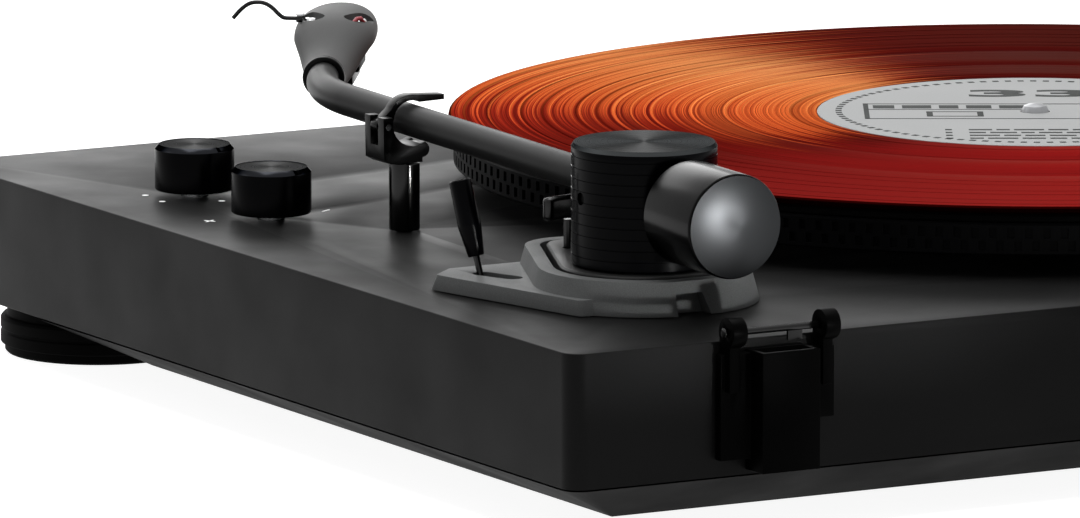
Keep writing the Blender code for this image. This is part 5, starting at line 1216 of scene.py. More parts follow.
@dataclass
class Record:
    """The record: a pressed disc with gaps between its tracks, and a printed label.

    A gap and a ring are profiles about their radius and the disc's top. The label's bars are
    the left and lower edge, width and height of each in mm, about the label's middle.
    """

    radius: float = 0.1508
    label_radius: float = 0.0560
    bore: float = 0.0038
    label_recess: float = 0.0006
    recess_edge: tuple[Point, ...] = ((0.0004, -0.0001), (0.0008, 0.0))
    upper_edge: tuple[Point, ...] = ((-0.0006, 0.0), (-0.0001, -0.0004), (0.0, -0.0009))
    lower_edge: tuple[Point, ...] = ((-0.0001, 0.0004), (-0.0006, 0.0))
    label_edge: tuple[Point, ...] = ((-0.0001, 0.0), (0.0, -0.0001))
    gap: tuple[Point, ...] = ((-0.00035, 0.0), (-0.0001, -0.00022), (0.0001, -0.00022),
                              (0.00035, 0.0))
    ring: tuple[Point, ...] = ((-0.0008, 0.0), (-0.0003, -0.00030), (0.0, -0.00030),
                               (0.00025, -0.00004), (0.0005, 0.0))
    steps: int = 256
    right: Vector = field(default_factory=lambda: Vector((-0.8725, 0.4887)))
    ahead: Vector = field(default_factory=lambda: Vector((-0.489, -0.872)))
    ink_lift: float = 0.00002
    ink: float = 0.00004
    bars: tuple[tuple[float, float, float, float], ...] = (
        (-44.0, -12.5, 1.3, 25.0), (-44.0, 11.6, 88.0, 0.7), (-44.0, -12.5, 88.0, 0.7),
        (42.7, -12.5, 1.3, 25.0), (-44.0, 2.6, 46.0, 0.6), (-28.0, -8.6, 1.6, 8.0),
        (-15.0, -8.6, 1.6, 8.0), (-28.0, -8.6, 14.0, 0.7), (-28.0, -1.3, 14.0, 0.7),
        (-41.5, 4.6, 5.5, 5.0), (-34.0, 4.6, 7.5, 5.0), (-24.5, 4.6, 5.0, 5.0),
        (-17.5, 4.6, 6.5, 5.0), (-9.0, 4.6, 8.5, 5.0))
    lines: tuple[tuple[int, ...], ...] = ((7, 4, 9, 6, 5, 8), (5, 8, 4, 7, 9, 4),
                                          (9, 5, 6, 8, 4, 6), (4, 9, 7, 5, 6, 7))
    line_top: float = -31.0
    line_pitch: float = 4.6
    line_height: float = 1.7
    line_start: float = -18.0
    line_mark: float = -24.0
    dash_share: float = 0.85
    dash_space: float = 1.1
    ring_radii: Point = (0.0497, 0.0513)
    ring_half: float = 0.0008
    ring_dashes: int = 84
    ring_places: int = 96
    ring_start: float = 0.3
    number_size: float = 0.0150
    number_wide: float = 2.3
    number_weight: float = 0.0005
    number_up: float = 24.5

    def build(self, paint: Paint, repeat: Repeater) -> None:
        """Press the disc and print its label.

        Args:
            paint: The materials.
            repeat: The tree that repeats the ring's dashes.
        """
        low, top = (corner.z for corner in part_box("record_disc"))
        seat = top - self.label_recess
        profile = [(self.bore, seat), (self.label_radius + GAP, seat),
                   *moved(self.recess_edge, self.label_radius, top)]
        for line in sorted(SHADED_GAPS + HIGHLIT_RINGS):
            profile += moved(self.gap if line in SHADED_GAPS else self.ring, line, top)
        profile += [*moved(self.upper_edge, self.radius, top),
                    *moved(self.lower_edge, self.radius, low), (self.bore, low)]
        mesh = lathe("record_pressed", profile, self.steps, loop=True)
        show("record_pressed", placed(mesh, at(SPINDLE_FOOT)), Body.RECORD,
             GroovedVinyl().build(), ["record_disc"])
        self.build_label(paint, repeat)

    def on_label(self, x: float, y: float) -> Point:
        """Find a point of the label.

        Args:
            x: Distance to the label's own right, in mm.
            y: Distance upwards on it, in mm.

        Returns:
            The point in the frame.
        """
        spot = self.right * x * MM + self.ahead * y * MM
        return (SPINDLE.x + spot.x, SPINDLE.y + spot.y)

    def bar(self, low: float, x: float, y: float, width: float, height: float) -> Mesh:
        """Print a bar.

        Args:
            low: Height of its underside in the frame.
            x: Its left edge on the label, in mm.
            y: Its lower edge.
            width: Its width.
            height: Its height on the label.

        Returns:
            The bar's mesh.
        """
        corners = ((x, y), (x + width, y), (x + width, y + height), (x, y + height))
        return prism("bar", [self.on_label(*c) for c in corners], low, low + self.ink)

    def build_label(self, paint: Paint, repeat: Repeater) -> None:
        """Make the paper label, with rules, rows of dashes, a ring and a plain speed number.

        Args:
            paint: The materials.
            repeat: The tree that repeats the ring's dashes.
        """
        low, high = (corner.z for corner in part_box("record_label"))
        profile = [(self.bore, high), *moved(self.label_edge, self.label_radius, high),
                   (self.label_radius, low), (self.bore, low)]
        mesh = lathe("label_paper", profile, self.steps, loop=True)
        show("label_paper", placed(mesh, at(SPINDLE_FOOT)), Body.RECORD,
             paint["paper_label_grey"], ["record_label"])
        ink = paint["print_black"]
        base = high + self.ink_lift
        bars = [self.bar(base, *bar) for bar in self.bars]
        for row, widths in enumerate(self.lines):
            x, y = self.line_start, self.line_top - self.line_pitch * row
            for width in widths:
                bars.append(self.bar(base, x, y, width * self.dash_share, self.line_height))
                x += width * self.dash_share + self.dash_space
            bars.append(self.bar(base, self.line_mark, y, self.line_height,
                                 self.line_height))
        show("label_rules", joined("label_rules", bars), Body.RECORD, ink)
        turn = math.atan2(self.right.y, self.right.x)
        self.print_number(ink, base, turn)
        (inside, outside), half = self.ring_radii, self.ring_half
        dash = prism("dash", [(inside, -half), (outside, -half), (outside, half),
                              (inside, half)], 0.0, self.ink)
        ring = repeat.run("label_dashes", dash, self.ring_dashes, ink,
                          turn=2 * math.pi / self.ring_places)
        show("label_dashes", placed(ring, at((SPINDLE.x, SPINDLE.y, base),
                                             turn=turn + self.ring_start)), Body.RECORD, ink)

    def print_number(self, ink: Material, base: float, turn: float) -> None:
        """Print the speed, 33, in wide heavy figures across the upper half of the label.

        Args:
            ink: The material of the print.
            base: Height of the print's underside.
            turn: Direction of the label's own right, in radians.
        """
        words = bpy.data.curves.new("speed", "FONT")
        words.body, words.size, words.extrude = "33", self.number_size, self.ink / 2
        words.align_x, words.offset = "CENTER", self.number_weight
        mesh = evaluated(linked("speed", words))
        mesh.transform(Matrix.Diagonal((self.number_wide, 1.0, 1.0, 1.0)))
        place = (*self.on_label(0.0, self.number_up), base + self.ink / 2)
        show("label_number", placed(mesh, at(place, turn=turn)), Body.RECORD, ink)


@dataclass
class Knob:
    """A turned knob with a chamfered top edge and a pointer notch."""

    name: str
    body: Body
    place: Point
    radius: float = 0.01015
    height: float = 0.0117
    standoff: float = 0.0017
    chamfer: float = 0.0011
    chamfer_edge: tuple[Point, ...] = ((-0.00004, 0.0), (0.0, -0.0001))
    dish: float = 0.00012
    dish_slope: float = 0.0001
    socket: Point = (0.0036, 0.0107)
    pointer: float = 102.0
    notch: Place = (0.0033, 0.0011, 0.0022)
    faced_slope: float = 0.97
    faced_depth: float = 0.0003
    cut_slopes: Point = (0.3, 0.9)
    cut_depth: float = 0.0013
    steps: int = 128

    def build(self, paint: Paint) -> None:
        """Turn the knob, cut its pointer and set the diamond-cut chamfer and top on it.

        Args:
            paint: The materials.
        """
        centre = (*self.place, DECK_Z)
        top = self.standoff + self.height
        face = self.radius - self.chamfer
        profile = [(0.0, top - self.dish), (face - self.dish_slope, top - self.dish),
                   (face, top), *moved(self.chamfer_edge, self.radius, top - self.chamfer),
                   *moved(FOOT_EDGE, self.radius, self.standoff),
                   (self.socket[0], self.standoff), self.socket, (0.0, self.socket[1])]
        notch = placed(cuboid("notch", self.notch, (self.radius - self.chamfer / 2, 0.0, top)),
                       Matrix.Rotation(math.radians(self.pointer), 4, "Z"))
        mesh = worked(self.name, lathe(self.name, profile, self.steps), cuts=[notch])
        piece = show(self.name + "_turned", placed(mesh, at(centre)), self.body,
                     paint["anodised_black_sides"], [self.name + "_knob"])
        for finish in (TurnedFinish(self.name + "_faced", "#1e1f20", 0.30, centre,
                                    ring_mm=0.3, edge_tint="#808080"),
                       TurnedFinish(self.name + "_diamond_cut", "#242528", 0.18, centre,
                                    anisotropy=0.5, edge_tint="#3a3a3a")):
            piece.data.materials.append(finish.build())
        for polygon in piece.data.polygons:
            slope, below = polygon.normal.z, DECK_Z + top - polygon.center.z
            if slope > self.faced_slope and below < self.faced_depth:
                polygon.material_index = 1
            elif self.cut_slopes[0] < slope < self.cut_slopes[1] and below < self.cut_depth:
                polygon.material_index = 2
        paint_nodes(paint["nickel_steel"], self.name + "_shaft")


@dataclass
class PivotDrum:
    """The drum that carries the arm, ringed with fine grooves, and its two pivot screws."""

    radius: float = 0.01785
    bottom: float = 0.0093
    height: float = 0.0297
    upper_edge: tuple[Point, ...] = ((-0.0006, 0.0), (-0.0001, -0.0008), (0.0, -0.0010))
    faced_slope: float = 0.3
    faced_depth: float = 0.0012
    groove_start: float = 0.0028
    groove_pitch: float = 0.0027
    groove_depth: float = 0.00022
    groove_half: float = 0.00016
    grooves: int = 10
    slot_width: float = 0.0090
    slot_below: float = 0.0060
    slot_above: float = 0.0062
    bore: float = 0.0063
    bore_above: float = 0.002
    screw_hole: float = 0.0016
    hole_reach: float = 0.04
    hole_steps: int = 24
    steps: int = 192

    def build(self, paint: Paint) -> None:
        """Turn the drum with its grooves and cut the way through for the arm.

        Args:
            paint: The materials.
        """
        top = self.bottom + self.height
        ceiling = ARM_HEIGHT - self.slot_below - self.bore_above
        profile = [(0.0, top), *moved(self.upper_edge, self.radius, top)]
        half, floor = self.groove_half, self.radius - self.groove_depth
        for i in range(self.grooves):
            z = top - self.groove_start - self.groove_pitch * i
            profile += [(self.radius, z + half), (floor, z + half / 2), (floor, z - half / 2),
                        (self.radius, z - half)]
        profile += [*moved(FOOT_EDGE, self.radius, self.bottom), (self.bore, self.bottom),
                    (self.bore, ceiling), (0.0, ceiling)]
        middle = ARM_HEIGHT + (self.slot_above - self.slot_below) / 2
        slot = cuboid("slot", (self.slot_width, 4 * self.radius,
                               self.slot_above + self.slot_below), (0.0, 0.0, middle))
        hole, reach = self.screw_hole, self.hole_reach
        holes = placed(lathe("holes", [(0.0, -reach), (hole, -reach), (hole, reach),
                                       (0.0, reach)], self.hole_steps),
                       at((0.0, 0.0, ARM_HEIGHT), Facing.RIGHT))
        mesh = worked("drum", lathe("drum", profile, self.steps), cuts=[slot, holes])
        piece = show("pivot_drum", placed(mesh, at(PIVOT)), Body.YOKE,
                     paint["anodised_black_sides"], ["pivot_housing"])
        faced = TurnedFinish("anodised_faced_drum", "#3c3e3f", 0.30, tuple(PIVOT),
                             anisotropy=0.85, ring_mm=0.4, edge_tint="#8a8a8a")
        piece.data.materials.append(faced.build())
        face = PIVOT.z + top - self.faced_depth
        for polygon in piece.data.polygons:
            if polygon.normal.z > self.faced_slope and polygon.center.z > face:
                polygon.material_index = 1
        paint_nodes(paint["nickel_steel"], "bearing_post")
        paint_nodes(paint["moulded_abs_black"], "pivot_screw_left", "pivot_screw_right")


class ArmFrame:
    """Matrices of the arm and of the headshell at its end, at rest."""

    tube_straight = 0.1495
    bend_radius = 0.062

    @classmethod
    def bend(cls, angle: float) -> Vector:
        """The point of the tube's middle line where it has turned by an angle."""
        return Vector((-cls.bend_radius * (1 - math.cos(angle)),
                       -cls.tube_straight - cls.bend_radius * math.sin(angle), 0.0))

    @classmethod
    def arm(cls) -> Matrix:
        """The arm's own frame, tilted about the pivot."""
        return (Matrix.Translation(PIVOT + Vector((0.0, 0.0, ARM_HEIGHT)))
                @ Matrix.Rotation(-ARM_TILT, 4, "X"))

    @classmethod
    def shell(cls) -> Matrix:
        """The headshell's frame: its own forwards is -Y, from the collar."""
        return (cls.arm() @ Matrix.Translation(cls.bend(ARM_BEND))
                @ Matrix.Rotation(-ARM_BEND, 4, "Z"))


@dataclass
class ArmTube:
    """The bent arm tube and the black collar that clamps the headshell."""

    radius: float = 0.00405
    wall: float = 0.0009
    rear: float = 0.0165
    bore_past: float = 0.002
    spigot: float = 0.0085
    collar_radius: float = 0.00545
    collar: float = 0.0018
    collar_edge: float = 0.0004
    straight_steps: int = 6
    bend_steps: int = 28
    sides: int = 48
    bore_sides: int = 32
    collar_steps: int = 72

    def path(self) -> list[Vector]:
        """Lay out the tube's middle line.

        Returns:
            Its points, forwards from its rear end.
        """
        points = [Vector((0.0, self.rear, 0.0))]
        points += [Vector((0.0, -ArmFrame.tube_straight * i / self.straight_steps, 0.0))
                   for i in range(self.straight_steps + 1)]
        points += [ArmFrame.bend(ARM_BEND * i / self.bend_steps)
                   for i in range(1, self.bend_steps + 1)]
        ahead = Vector((-math.sin(ARM_BEND), -math.cos(ARM_BEND), 0.0))
        return [*points, points[-1] + ahead * self.spigot]

    def build(self, paint: Paint) -> None:
        """Sweep the tube, open at its rear, and turn the collar.

        Args:
            paint: The materials.
        """
        inner = self.path()
        inner[0] = inner[0] + Vector((0.0, self.bore_past, 0.0))
        bore = swept("bore", inner[:-1], self.radius - self.wall, self.bore_sides)
        mesh = worked("arm_tube_drawn", swept("tube", self.path(), self.radius, self.sides),
                      cuts=[bore])
        show("arm_tube_drawn", placed(mesh, ArmFrame.arm()), Body.ARM,
             paint["satin_paint_graphite"], ["arm_tube"])
        inside = self.radius + GAP
        ring = rounded_profile([(inside, 0.0), (self.collar_radius, 0.0),
                                (self.collar_radius, -self.collar), (inside, -self.collar)],
                               self.collar_edge)
        mesh = lathe("collar", ring, self.collar_steps, loop=True)
        show("collar_ring", placed(mesh, ArmFrame.shell() @ at((0, 0, 0), Facing.REAR)),
             Body.ARM, paint["polished_abs_black"], ["arm_collar"])


@dataclass
class Headshell:
    """The hooded headshell with its two screw slots, finger lift, cartridge and a lead.

    Each row of the shape is a share of the length, then shares: of the half width its width,
    and of the top its upper edge, waist and lower edge. The last value is its squareness.
    The steps of the cartridge are their half width, start, length, upper and lower edge.
    """

    length: float = 0.0540
    half_width: float = 0.0106
    top: float = 0.0122
    roof: float = 0.0029
    overrun: float = 0.0001
    shape: tuple[tuple[float, ...], ...] = (
        (0.0, 0.51, 0.443, 0.0, -0.443, 2.0), (0.07, 0.54, 0.46, 0.02, -0.443, 2.0),
        (0.15, 0.59, 0.52, 0.05, -0.42, 2.05), (0.23, 0.67, 0.63, 0.12, -0.36, 2.1),
        (0.32, 0.78, 0.79, 0.25, -0.14, 2.2), (0.40, 0.90, 0.90, 0.36, 0.12, 2.3),
        (0.47, 0.98, 0.955, 0.43, 0.26, 2.3), (0.55, 1.0, 0.99, 0.49, 0.34, 2.3),
        (0.67, 0.97, 1.0, 0.57, 0.43, 2.3), (0.82, 0.81, 0.98, 0.63, 0.50, 2.3),
        (0.93, 0.54, 0.915, 0.67, 0.57, 2.2), (1.0, 0.21, 0.80, 0.69, 0.63, 2.0))
    sections: int = 56
    points: int = 72
    pocket: Point = (0.0252, 0.0450)
    pocket_half: float = 0.0078
    slot_pitch: float = 0.00635
    slot_length: float = 0.0110
    slot_width: float = 0.0044
    slot_centre: float = 0.0305
    slot_turn: float = 30.0
    slot_steps: int = 12
    neck: Point = (0.00435, 0.0088)
    neck_steps: int = 48
    lug_start: float = 0.0282
    lug: Place = (0.0017, 0.0040, 0.0016)
    lug_side: float = 0.00915
    lug_edge: float = 0.0003
    screw_side: float = 0.0091
    screw: tuple[Point, ...] = ((0.0, 0.0006), (0.0010, 0.0006), (0.0012, 0.0), (0.0, 0.0))
    screw_edge: float = 0.0002
    screw_steps: int = 24
    wire_radius: float = 0.00055
    wire_sides: int = 16
    wire_start: float = 0.0089
    wire_reach: float = 0.0176
    wire_rise: float = 0.0040
    wire: tuple[Point, ...] = ((0.00, 0.00), (0.20, 0.00), (0.27, 0.06), (0.34, 0.30),
                               (0.43, 0.68), (0.53, 0.93), (0.64, 1.00), (0.76, 0.90),
                               (0.88, 0.52), (1.00, -0.08))
    body_depth: float = 0.0118
    body_steps: tuple[tuple[float, ...], ...] = ((0.0074, 0.0255, 0.0192, 0.0, 0.0046),
                                                 (0.0066, 0.0262, 0.0180, 0.0046, 0.0118))
    body_edge: float = 0.0004
    holder: Place = (0.0098, 0.0213, 0.0034)
    holder_start: float = 0.0260
    holder_drop: float = 0.0018
    holder_edge: float = 0.0006
    tip_along: float = 0.0445
    tip_drop: float = 0.0036
    tip_steps: int = 20
    tip: tuple[Point, ...] = ((0.0, 0.0014), (0.0006, 0.0014), (0.00015, -0.0014),
                              (0.0, -0.0014))
    shell_screw: tuple[Point, ...] = (
        (0.0, 0.0008), (0.0006, 0.0008), (0.0006, 0.0013), (0.0014, 0.0012), (0.0017, 0.0008),
        (0.0017, 0.0), (0.0012, 0.0), (0.0012, -0.0040), (0.0, -0.0040))
    lead: tuple[Place, ...] = ((-0.0052, -0.0262, 0.0012), (-0.0060, -0.0268, 0.0021),
                               (-0.0068, -0.0276, 0.0021), (-0.0074, -0.0284, 0.0010))
    lead_radius: float = 0.0006
    lead_sides: int = 12
    shell_screw_steps: int = 32

    def between(self, column: int, share: float) -> float:
        """Read a column of the shape smoothly between its rows.

        Args:
            column: The column.
            share: The share of the length.

        Returns:
            The value there.
        """
        xs = [row[0] for row in self.shape]
        table = [row[column] for row in self.shape]
        i = max(k for k in range(len(xs) - 1) if xs[k] <= share or k == 0)
        span = xs[i + 1] - xs[i]
        t = (share - xs[i]) / span
        before, x_before = (table[i - 1], xs[i - 1]) if i else (table[i], xs[i] - span)
        after, x_after = ((table[i + 2], xs[i + 2]) if i + 2 < len(xs)
                          else (table[i + 1], xs[i + 1] + span))
        slope_a = (table[i + 1] - before) / (xs[i + 1] - x_before) * span
        slope_b = (after - table[i]) / (x_after - xs[i]) * span
        return ((2 * t ** 3 - 3 * t ** 2 + 1) * table[i] + (t ** 3 - 2 * t ** 2 + t) * slope_a
                + (-2 * t ** 3 + 3 * t ** 2) * table[i + 1] + (t ** 3 - t ** 2) * slope_b)

    def section(self, share: float) -> list[Vector]:
        """Draw one ring of the skin, a squared oval about its waist.

        Args:
            share: Where it lies, as a share of the length.

        Returns:
            The ring's points.
        """
        half = self.half_width * self.between(1, share)
        top, waist, bottom = (self.top * self.between(column, share) for column in (2, 3, 4))
        along = self.length * share + ArmTube.collar + GAP
        power = 2 / self.between(5, share)
        ring = []
        for k in range(self.points):
            angle = 2 * math.pi * k / self.points
            cosine, sine = math.cos(angle), math.sin(angle)
            height = top - waist if sine > 0 else waist - bottom
            ring.append(Vector((half * math.copysign(abs(cosine) ** power, cosine), -along,
                                waist + height * math.copysign(abs(sine) ** power, sine))))
        return ring

    def build(self, paint: Paint) -> None:
        """Build the shell and everything in it.

        Args:
            paint: The materials.
        """
        place = ArmFrame.shell()
        roof = self.top - self.roof
        (start, end), height = self.pocket, self.top + roof
        cuts = [cuboid("pocket", (2 * self.pocket_half, end - start, height),
                       (0.0, -(start + end) / 2, roof - height / 2))]
        half = self.slot_length / 2 - self.slot_width / 2
        outline = (arc((0.0, half), self.slot_width / 2, 0, 180, self.slot_steps)
                   + arc((0.0, -half), self.slot_width / 2, 180, 360, self.slot_steps))
        for side in (-1, 1):
            slot = prism("slot", outline, roof - self.overrun, roof + 2 * self.roof)
            cuts.append(placed(slot, at((side * self.slot_pitch, -self.slot_centre, 0.0),
                                        turn=side * math.radians(self.slot_turn))))
        radius, reach = self.neck
        cuts.append(placed(lathe("neck", [(0.0, -reach), (radius, -reach), (radius, reach),
                                          (0.0, reach)], self.neck_steps),
                           at((0, 0, 0), Facing.REAR)))
        middle = self.lug_start + self.lug[1] / 2
        cuts.append(cuboid("lug_notch", (self.half_width, self.lug[1] + 2 * GAP, 2 * self.roof),
                           (self.slot_pitch + self.half_width / 2, -middle, roof + self.roof)))
        rings = [self.section(i / self.sections) for i in range(self.sections + 1)]
        mesh = worked("headshell_hood", skin("shell", rings), cuts=cuts)
        show("headshell_hood", placed(mesh, place), Body.ARM, paint["satin_paint_hood"],
             ["headshell"])
        self.build_lift(paint, place, roof + GAP, middle)
        self.build_cartridge(paint, place, roof - GAP)

    def build_lift(self, paint: Paint, place: Matrix, low: float, middle: float) -> None:
        """Build the finger lift: a lug on the shell's side, its screw and a bent wire.

        Args:
            paint: The materials.
            place: The headshell's frame.
            low: Height of the lug's underside.
            middle: Distance of its middle from the collar.
        """
        height = low + self.lug[2] / 2
        lug = worked("lug", cuboid("lug", self.lug, (self.lug_side, -middle, height)),
                     bevel=self.lug_edge)
        control = [Vector((self.wire_start + self.wire_reach * a, -middle,
                           height + self.wire_rise * b)) for a, b in self.wire]
        path = []
        for i, (p1, p2) in enumerate(zip(control, control[1:])):
            p0, p3 = control[max(i - 1, 0)], control[min(i + 2, len(control) - 1)]
            for t in (0.0, 0.25, 0.5, 0.75):
                path.append(0.5 * ((2 * p1) + (p2 - p0) * t
                                   + (2 * p0 - 5 * p1 + 4 * p2 - p3) * t ** 2
                                   + (3 * p1 - p0 - 3 * p2 + p3) * t ** 3))
        wire = swept("wire", [*path, control[-1]], self.wire_radius, self.wire_sides)
        show("finger_lift_wire", placed(joined("lift", [lug, wire]), place), Body.ARM,
             paint["gloss_enamel_black"], ["finger_lift"])
        screw = placed(lathe("lug_screw", rounded_profile(self.screw, self.screw_edge),
                             self.screw_steps),
                       at((self.screw_side, -middle, low + self.lug[2])))
        show("finger_lift_screw", placed(screw, place), Body.ARM, paint["nickel_steel"])

    def build_cartridge(self, paint: Paint, place: Matrix, top: float) -> None:
        """Build the cartridge in two steps, the stylus holder, the screws and a lead.

        Args:
            paint: The materials.
            place: The headshell's frame.
            top: Height of the cartridge's upper face.
        """
        parts = []
        for half, start, length, above, below in self.body_steps:
            high, low = top - above, top - below
            parts.append(worked("step", cuboid("step", (2 * half, length, high - low),
                                               (0.0, -start - length / 2, (high + low) / 2)),
                                bevel=self.body_edge))
        show("cartridge_body", placed(joined("cartridge_body", parts), place), Body.ARM,
             paint["moulded_abs_black"], ["cartridge"])
        low = top - self.body_depth - GAP
        holder = worked("holder", cuboid("holder", self.holder, (
            0.0, -self.holder_start - self.holder[1] / 2, low - self.holder_drop)),
            bevel=self.holder_edge, segments=3)
        tip = placed(lathe("tip", self.tip, self.tip_steps),
                     at((0.0, -self.tip_along, low - self.tip_drop)))
        show("stylus_block", placed(joined("stylus_block", [holder, tip]), place), Body.ARM,
             paint["polished_abs_black"], ["stylus_holder"])
        for side, name in ((-1, "left"), (1, "right")):
            spot = (side * self.slot_pitch, -self.slot_centre, top + GAP)
            show("shell_screw_" + name,
                 placed(lathe("screw", self.shell_screw, self.shell_screw_steps),
                        place @ at(spot)), Body.ARM,
                 paint["nickel_steel"], ["cartridge_screw_" + name])
        lead = [Vector((x, y, top + up)) for x, y, up in self.lead]
        mesh = swept("lead", lead, self.lead_radius, self.lead_sides)
        show("signal_lead", placed(mesh, place), Body.ARM, paint["lead_red"])


@dataclass
class BalanceWeight:
    """The counterweight: a black barrel with a shallow silver dome, on its shaft."""

    radius: float = 0.01285
    start: float = 0.0215
    length: float = 0.0225
    drop: float = 0.0013
    bore: tuple[float, float, float] = (0.0031, -0.01, 0.0205)
    bore_steps: int = 32
    edge: float = 0.0003
    front_edge: float = 0.0008
    dome_rim: float = 0.0004
    dome_foot: float = 0.0001
    dome: float = 0.0018
    dome_steps: int = 14
    steps: int = 128

    def build(self, paint: Paint) -> None:
        """Turn the barrel and the dome.

        Args:
            paint: The materials.
        """
        place = ArmFrame.arm() @ Matrix.Translation((0.0, self.start, -self.drop)) @ at(
            (0, 0, 0), Facing.REAR)
        end = self.length
        barrel = [(0.0, 0.0), (self.radius - self.front_edge, 0.0),
                  (self.radius, self.front_edge),
                  (self.radius, end - self.edge), (self.radius - self.edge, end), (0.0, end)]
        radius, front, back = self.bore
        bore = placed(lathe("bore", [(0.0, front), (radius, front), (radius, back),
                                     (0.0, back)], self.bore_steps),
                      at((0.0, -self.drop, 0.0)))
        mesh = worked("weight_barrel",
                      lathe("barrel", rounded_profile(barrel, self.edge), self.steps),
                      cuts=[bore])
        show("weight_barrel", placed(mesh, place), Body.WEIGHT, paint["blasted_barrel_black"],
             ["counterweight"])
        base, rim = end + GAP, self.radius - self.dome_rim
        foot = base + self.dome_foot
        dome = [(0.0, base), (rim, base), (rim, foot)]
        for i in range(1, self.dome_steps + 1):
            share = 1 - i / self.dome_steps
            dome.append((rim * share, foot + (self.dome - self.dome_foot) * (1 - share ** 2)))
        axis = (place.to_3x3() @ Vector((0.0, 0.0, 1.0))).normalized()
        silver = TurnedFinish("satin_silver_dome", "#2e2f30", 0.36,
                              tuple(place @ Vector((0.0, 0.0, base))), tuple(axis),
                              anisotropy=0.35, ring_mm=0.2, ring_height_mm=0.002)
        show("weight_dome", placed(lathe("dome", dome, self.steps), place), Body.WEIGHT,
             silver.build(), ["counterweight_cap"])
        paint_nodes(paint["nickel_steel"], "weight_shaft")


@dataclass
class ArmBase:
    """The moulded base under the arm and the plate let into it."""

    edge: float = 0.0004
    plate_edge: float = 0.0002

    def build(self, paint: Paint) -> None:
        """Round the edges of the base and of the plate.

        Args:
            paint: The materials.
        """
        Moulding("arm_base_moulded", "arm_base", Body.CHASSIS, "moulded_nylon_grey",
                 "base_grey", self.edge, 3).build(paint)
        Moulding("pivot_plate_edged", "pivot_plate", Body.CHASSIS, "satin_paint_graphite",
                 "base_grey", self.plate_edge).build(paint)
        paint_nodes(paint["moulded_abs_black"], "lift_cylinder")


@dataclass
class ArmRest:
    """The arm rest: post, forked head with its pin, and the clip over the arm."""

    head_edge: float = 0.00035
    clip_edge: float = 0.0003
    post_radius: float = 0.0039
    stud_radius: float = 0.0020
    post_edge: float = 0.0002
    post_steps: int = 72

    def build(self, paint: Paint) -> None:
        """Soften the head and the clip, and turn the post.

        Args:
            paint: The materials.
        """
        Moulding("rest_fork", "rest_head", Body.CHASSIS, "polished_abs_black", "gloss_black",
                 self.head_edge, 3).build(paint)
        Moulding("rest_clip_arm", "rest_clip", Body.CLIP, "polished_abs_black", "gloss_black",
                 self.clip_edge, 3).build(paint)
        low, high = (corner.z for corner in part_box("rest_post"))
        foot = DECK_Z + GAP
        profile = rounded_profile([(0.0, high), (self.post_radius, high),
                                   (self.post_radius, foot), (self.stud_radius, foot),
                                   (self.stud_radius, low), (0.0, low)], self.post_edge)
        mesh = lathe("post", profile, self.post_steps)
        show("rest_post_turned", placed(mesh, at(foot_of("rest_post"))), Body.CHASSIS,
             paint["gloss_enamel_black"], ["rest_post"])
        paint_nodes(paint["nickel_steel"], "clip_pin")


@dataclass
class CueLift:
    """The cue lever with its grip, and the curved platform that it raises."""

    lever: Place = (0.182755, 0.072365, 0.0420)
    slot_turn: float = 23.0
    lean: float = 15.7
    grip_start: float = 0.0147
    grip_length: float = 0.0191
    waist_share: float = 0.40
    grip_radius: float = 0.0029
    grip_top: tuple[Point, ...] = ((0.0, 0.0), (0.0024, 0.0), (0.0027, -0.0003))
    grip_foot: tuple[Point, ...] = ((0.0020, 0.0002), (0.0018, 0.0))
    grip_bore: Point = (0.0011, 0.0193)
    grip_edge: float = 0.0001
    grip_steps: int = 64
    platform_edge: float = 0.0011

    def build(self, paint: Paint) -> None:
        """Turn the grip and soften the platform.

        Args:
            paint: The materials.
        """
        place = (at(self.lever, turn=math.radians(self.slot_turn))
                 @ Matrix.Rotation(math.radians(self.lean), 4, "X"))
        low, top = self.grip_start, self.grip_start + self.grip_length
        waist = low + self.grip_length * self.waist_share
        profile = rounded_profile(
            [*moved(self.grip_top, 0.0, top), (self.grip_radius, waist + GAP),
             (self.grip_radius, waist), *moved(self.grip_foot, 0.0, low),
             (self.grip_bore[0], low), self.grip_bore, (0.0, self.grip_bore[1])],
            self.grip_edge)
        mesh = lathe("grip", profile, self.grip_steps)
        show("lever_grip_turned", placed(mesh, place), Body.CUE_HANDLE,
             paint["anodised_black_sides"], ["lever_grip"])
        paint_nodes(paint["gloss_enamel_black"], "cue_lever", "lift_pin")
        paint_nodes(paint["nickel_steel"], "lever_pin")
        Moulding("cue_platform_curved", "lift_platform", Body.CUE_PLATFORM,
                 "gloss_enamel_black", "gloss_black", self.platform_edge, 4).build(paint)


@dataclass
class CoverHinges:
    """The two dust cover hinges: moulded sockets with ears, each with a gloss black rod."""

    edge: float = 0.0002
    rod_edge: float = 0.0001

    def build(self, paint: Paint) -> None:
        """Soften both hinges and their rods.

        Args:
            paint: The materials.
        """
        for name, body in (("left", Body.HOLDER_LEFT), ("right", Body.HOLDER_RIGHT)):
            Moulding("hinge_moulding_" + name, "hinge_base_" + name, Body.CHASSIS,
                     "moulded_abs_black", "moulded_black", self.edge).build(paint)
            Moulding("cover_pin_" + name, "cover_rod_" + name, body, "gloss_enamel_black",
                     "gloss_painted", self.rod_edge).build(paint)


class RearPanel:
    """The panel with its signal jacks, earth post and power socket, and the parts inside."""

    def build(self, paint: Paint) -> None:
        """Paint the panel's nodes and what is under the deck.

        Args:
            paint: The materials.
        """
        paint_nodes(paint["moulded_abs_black"], "jack_panel", "power_socket", "speed_switch",
                    "pitch_control")
        paint_nodes(paint["turned_brass_gilt"], "signal_jack_left", "signal_jack_right")
        paint_nodes(paint["nickel_steel"], "earth_post")
        paint_nodes(paint["laminate_green"], "circuit_board")


# ---------------------------------------------------------------- studio


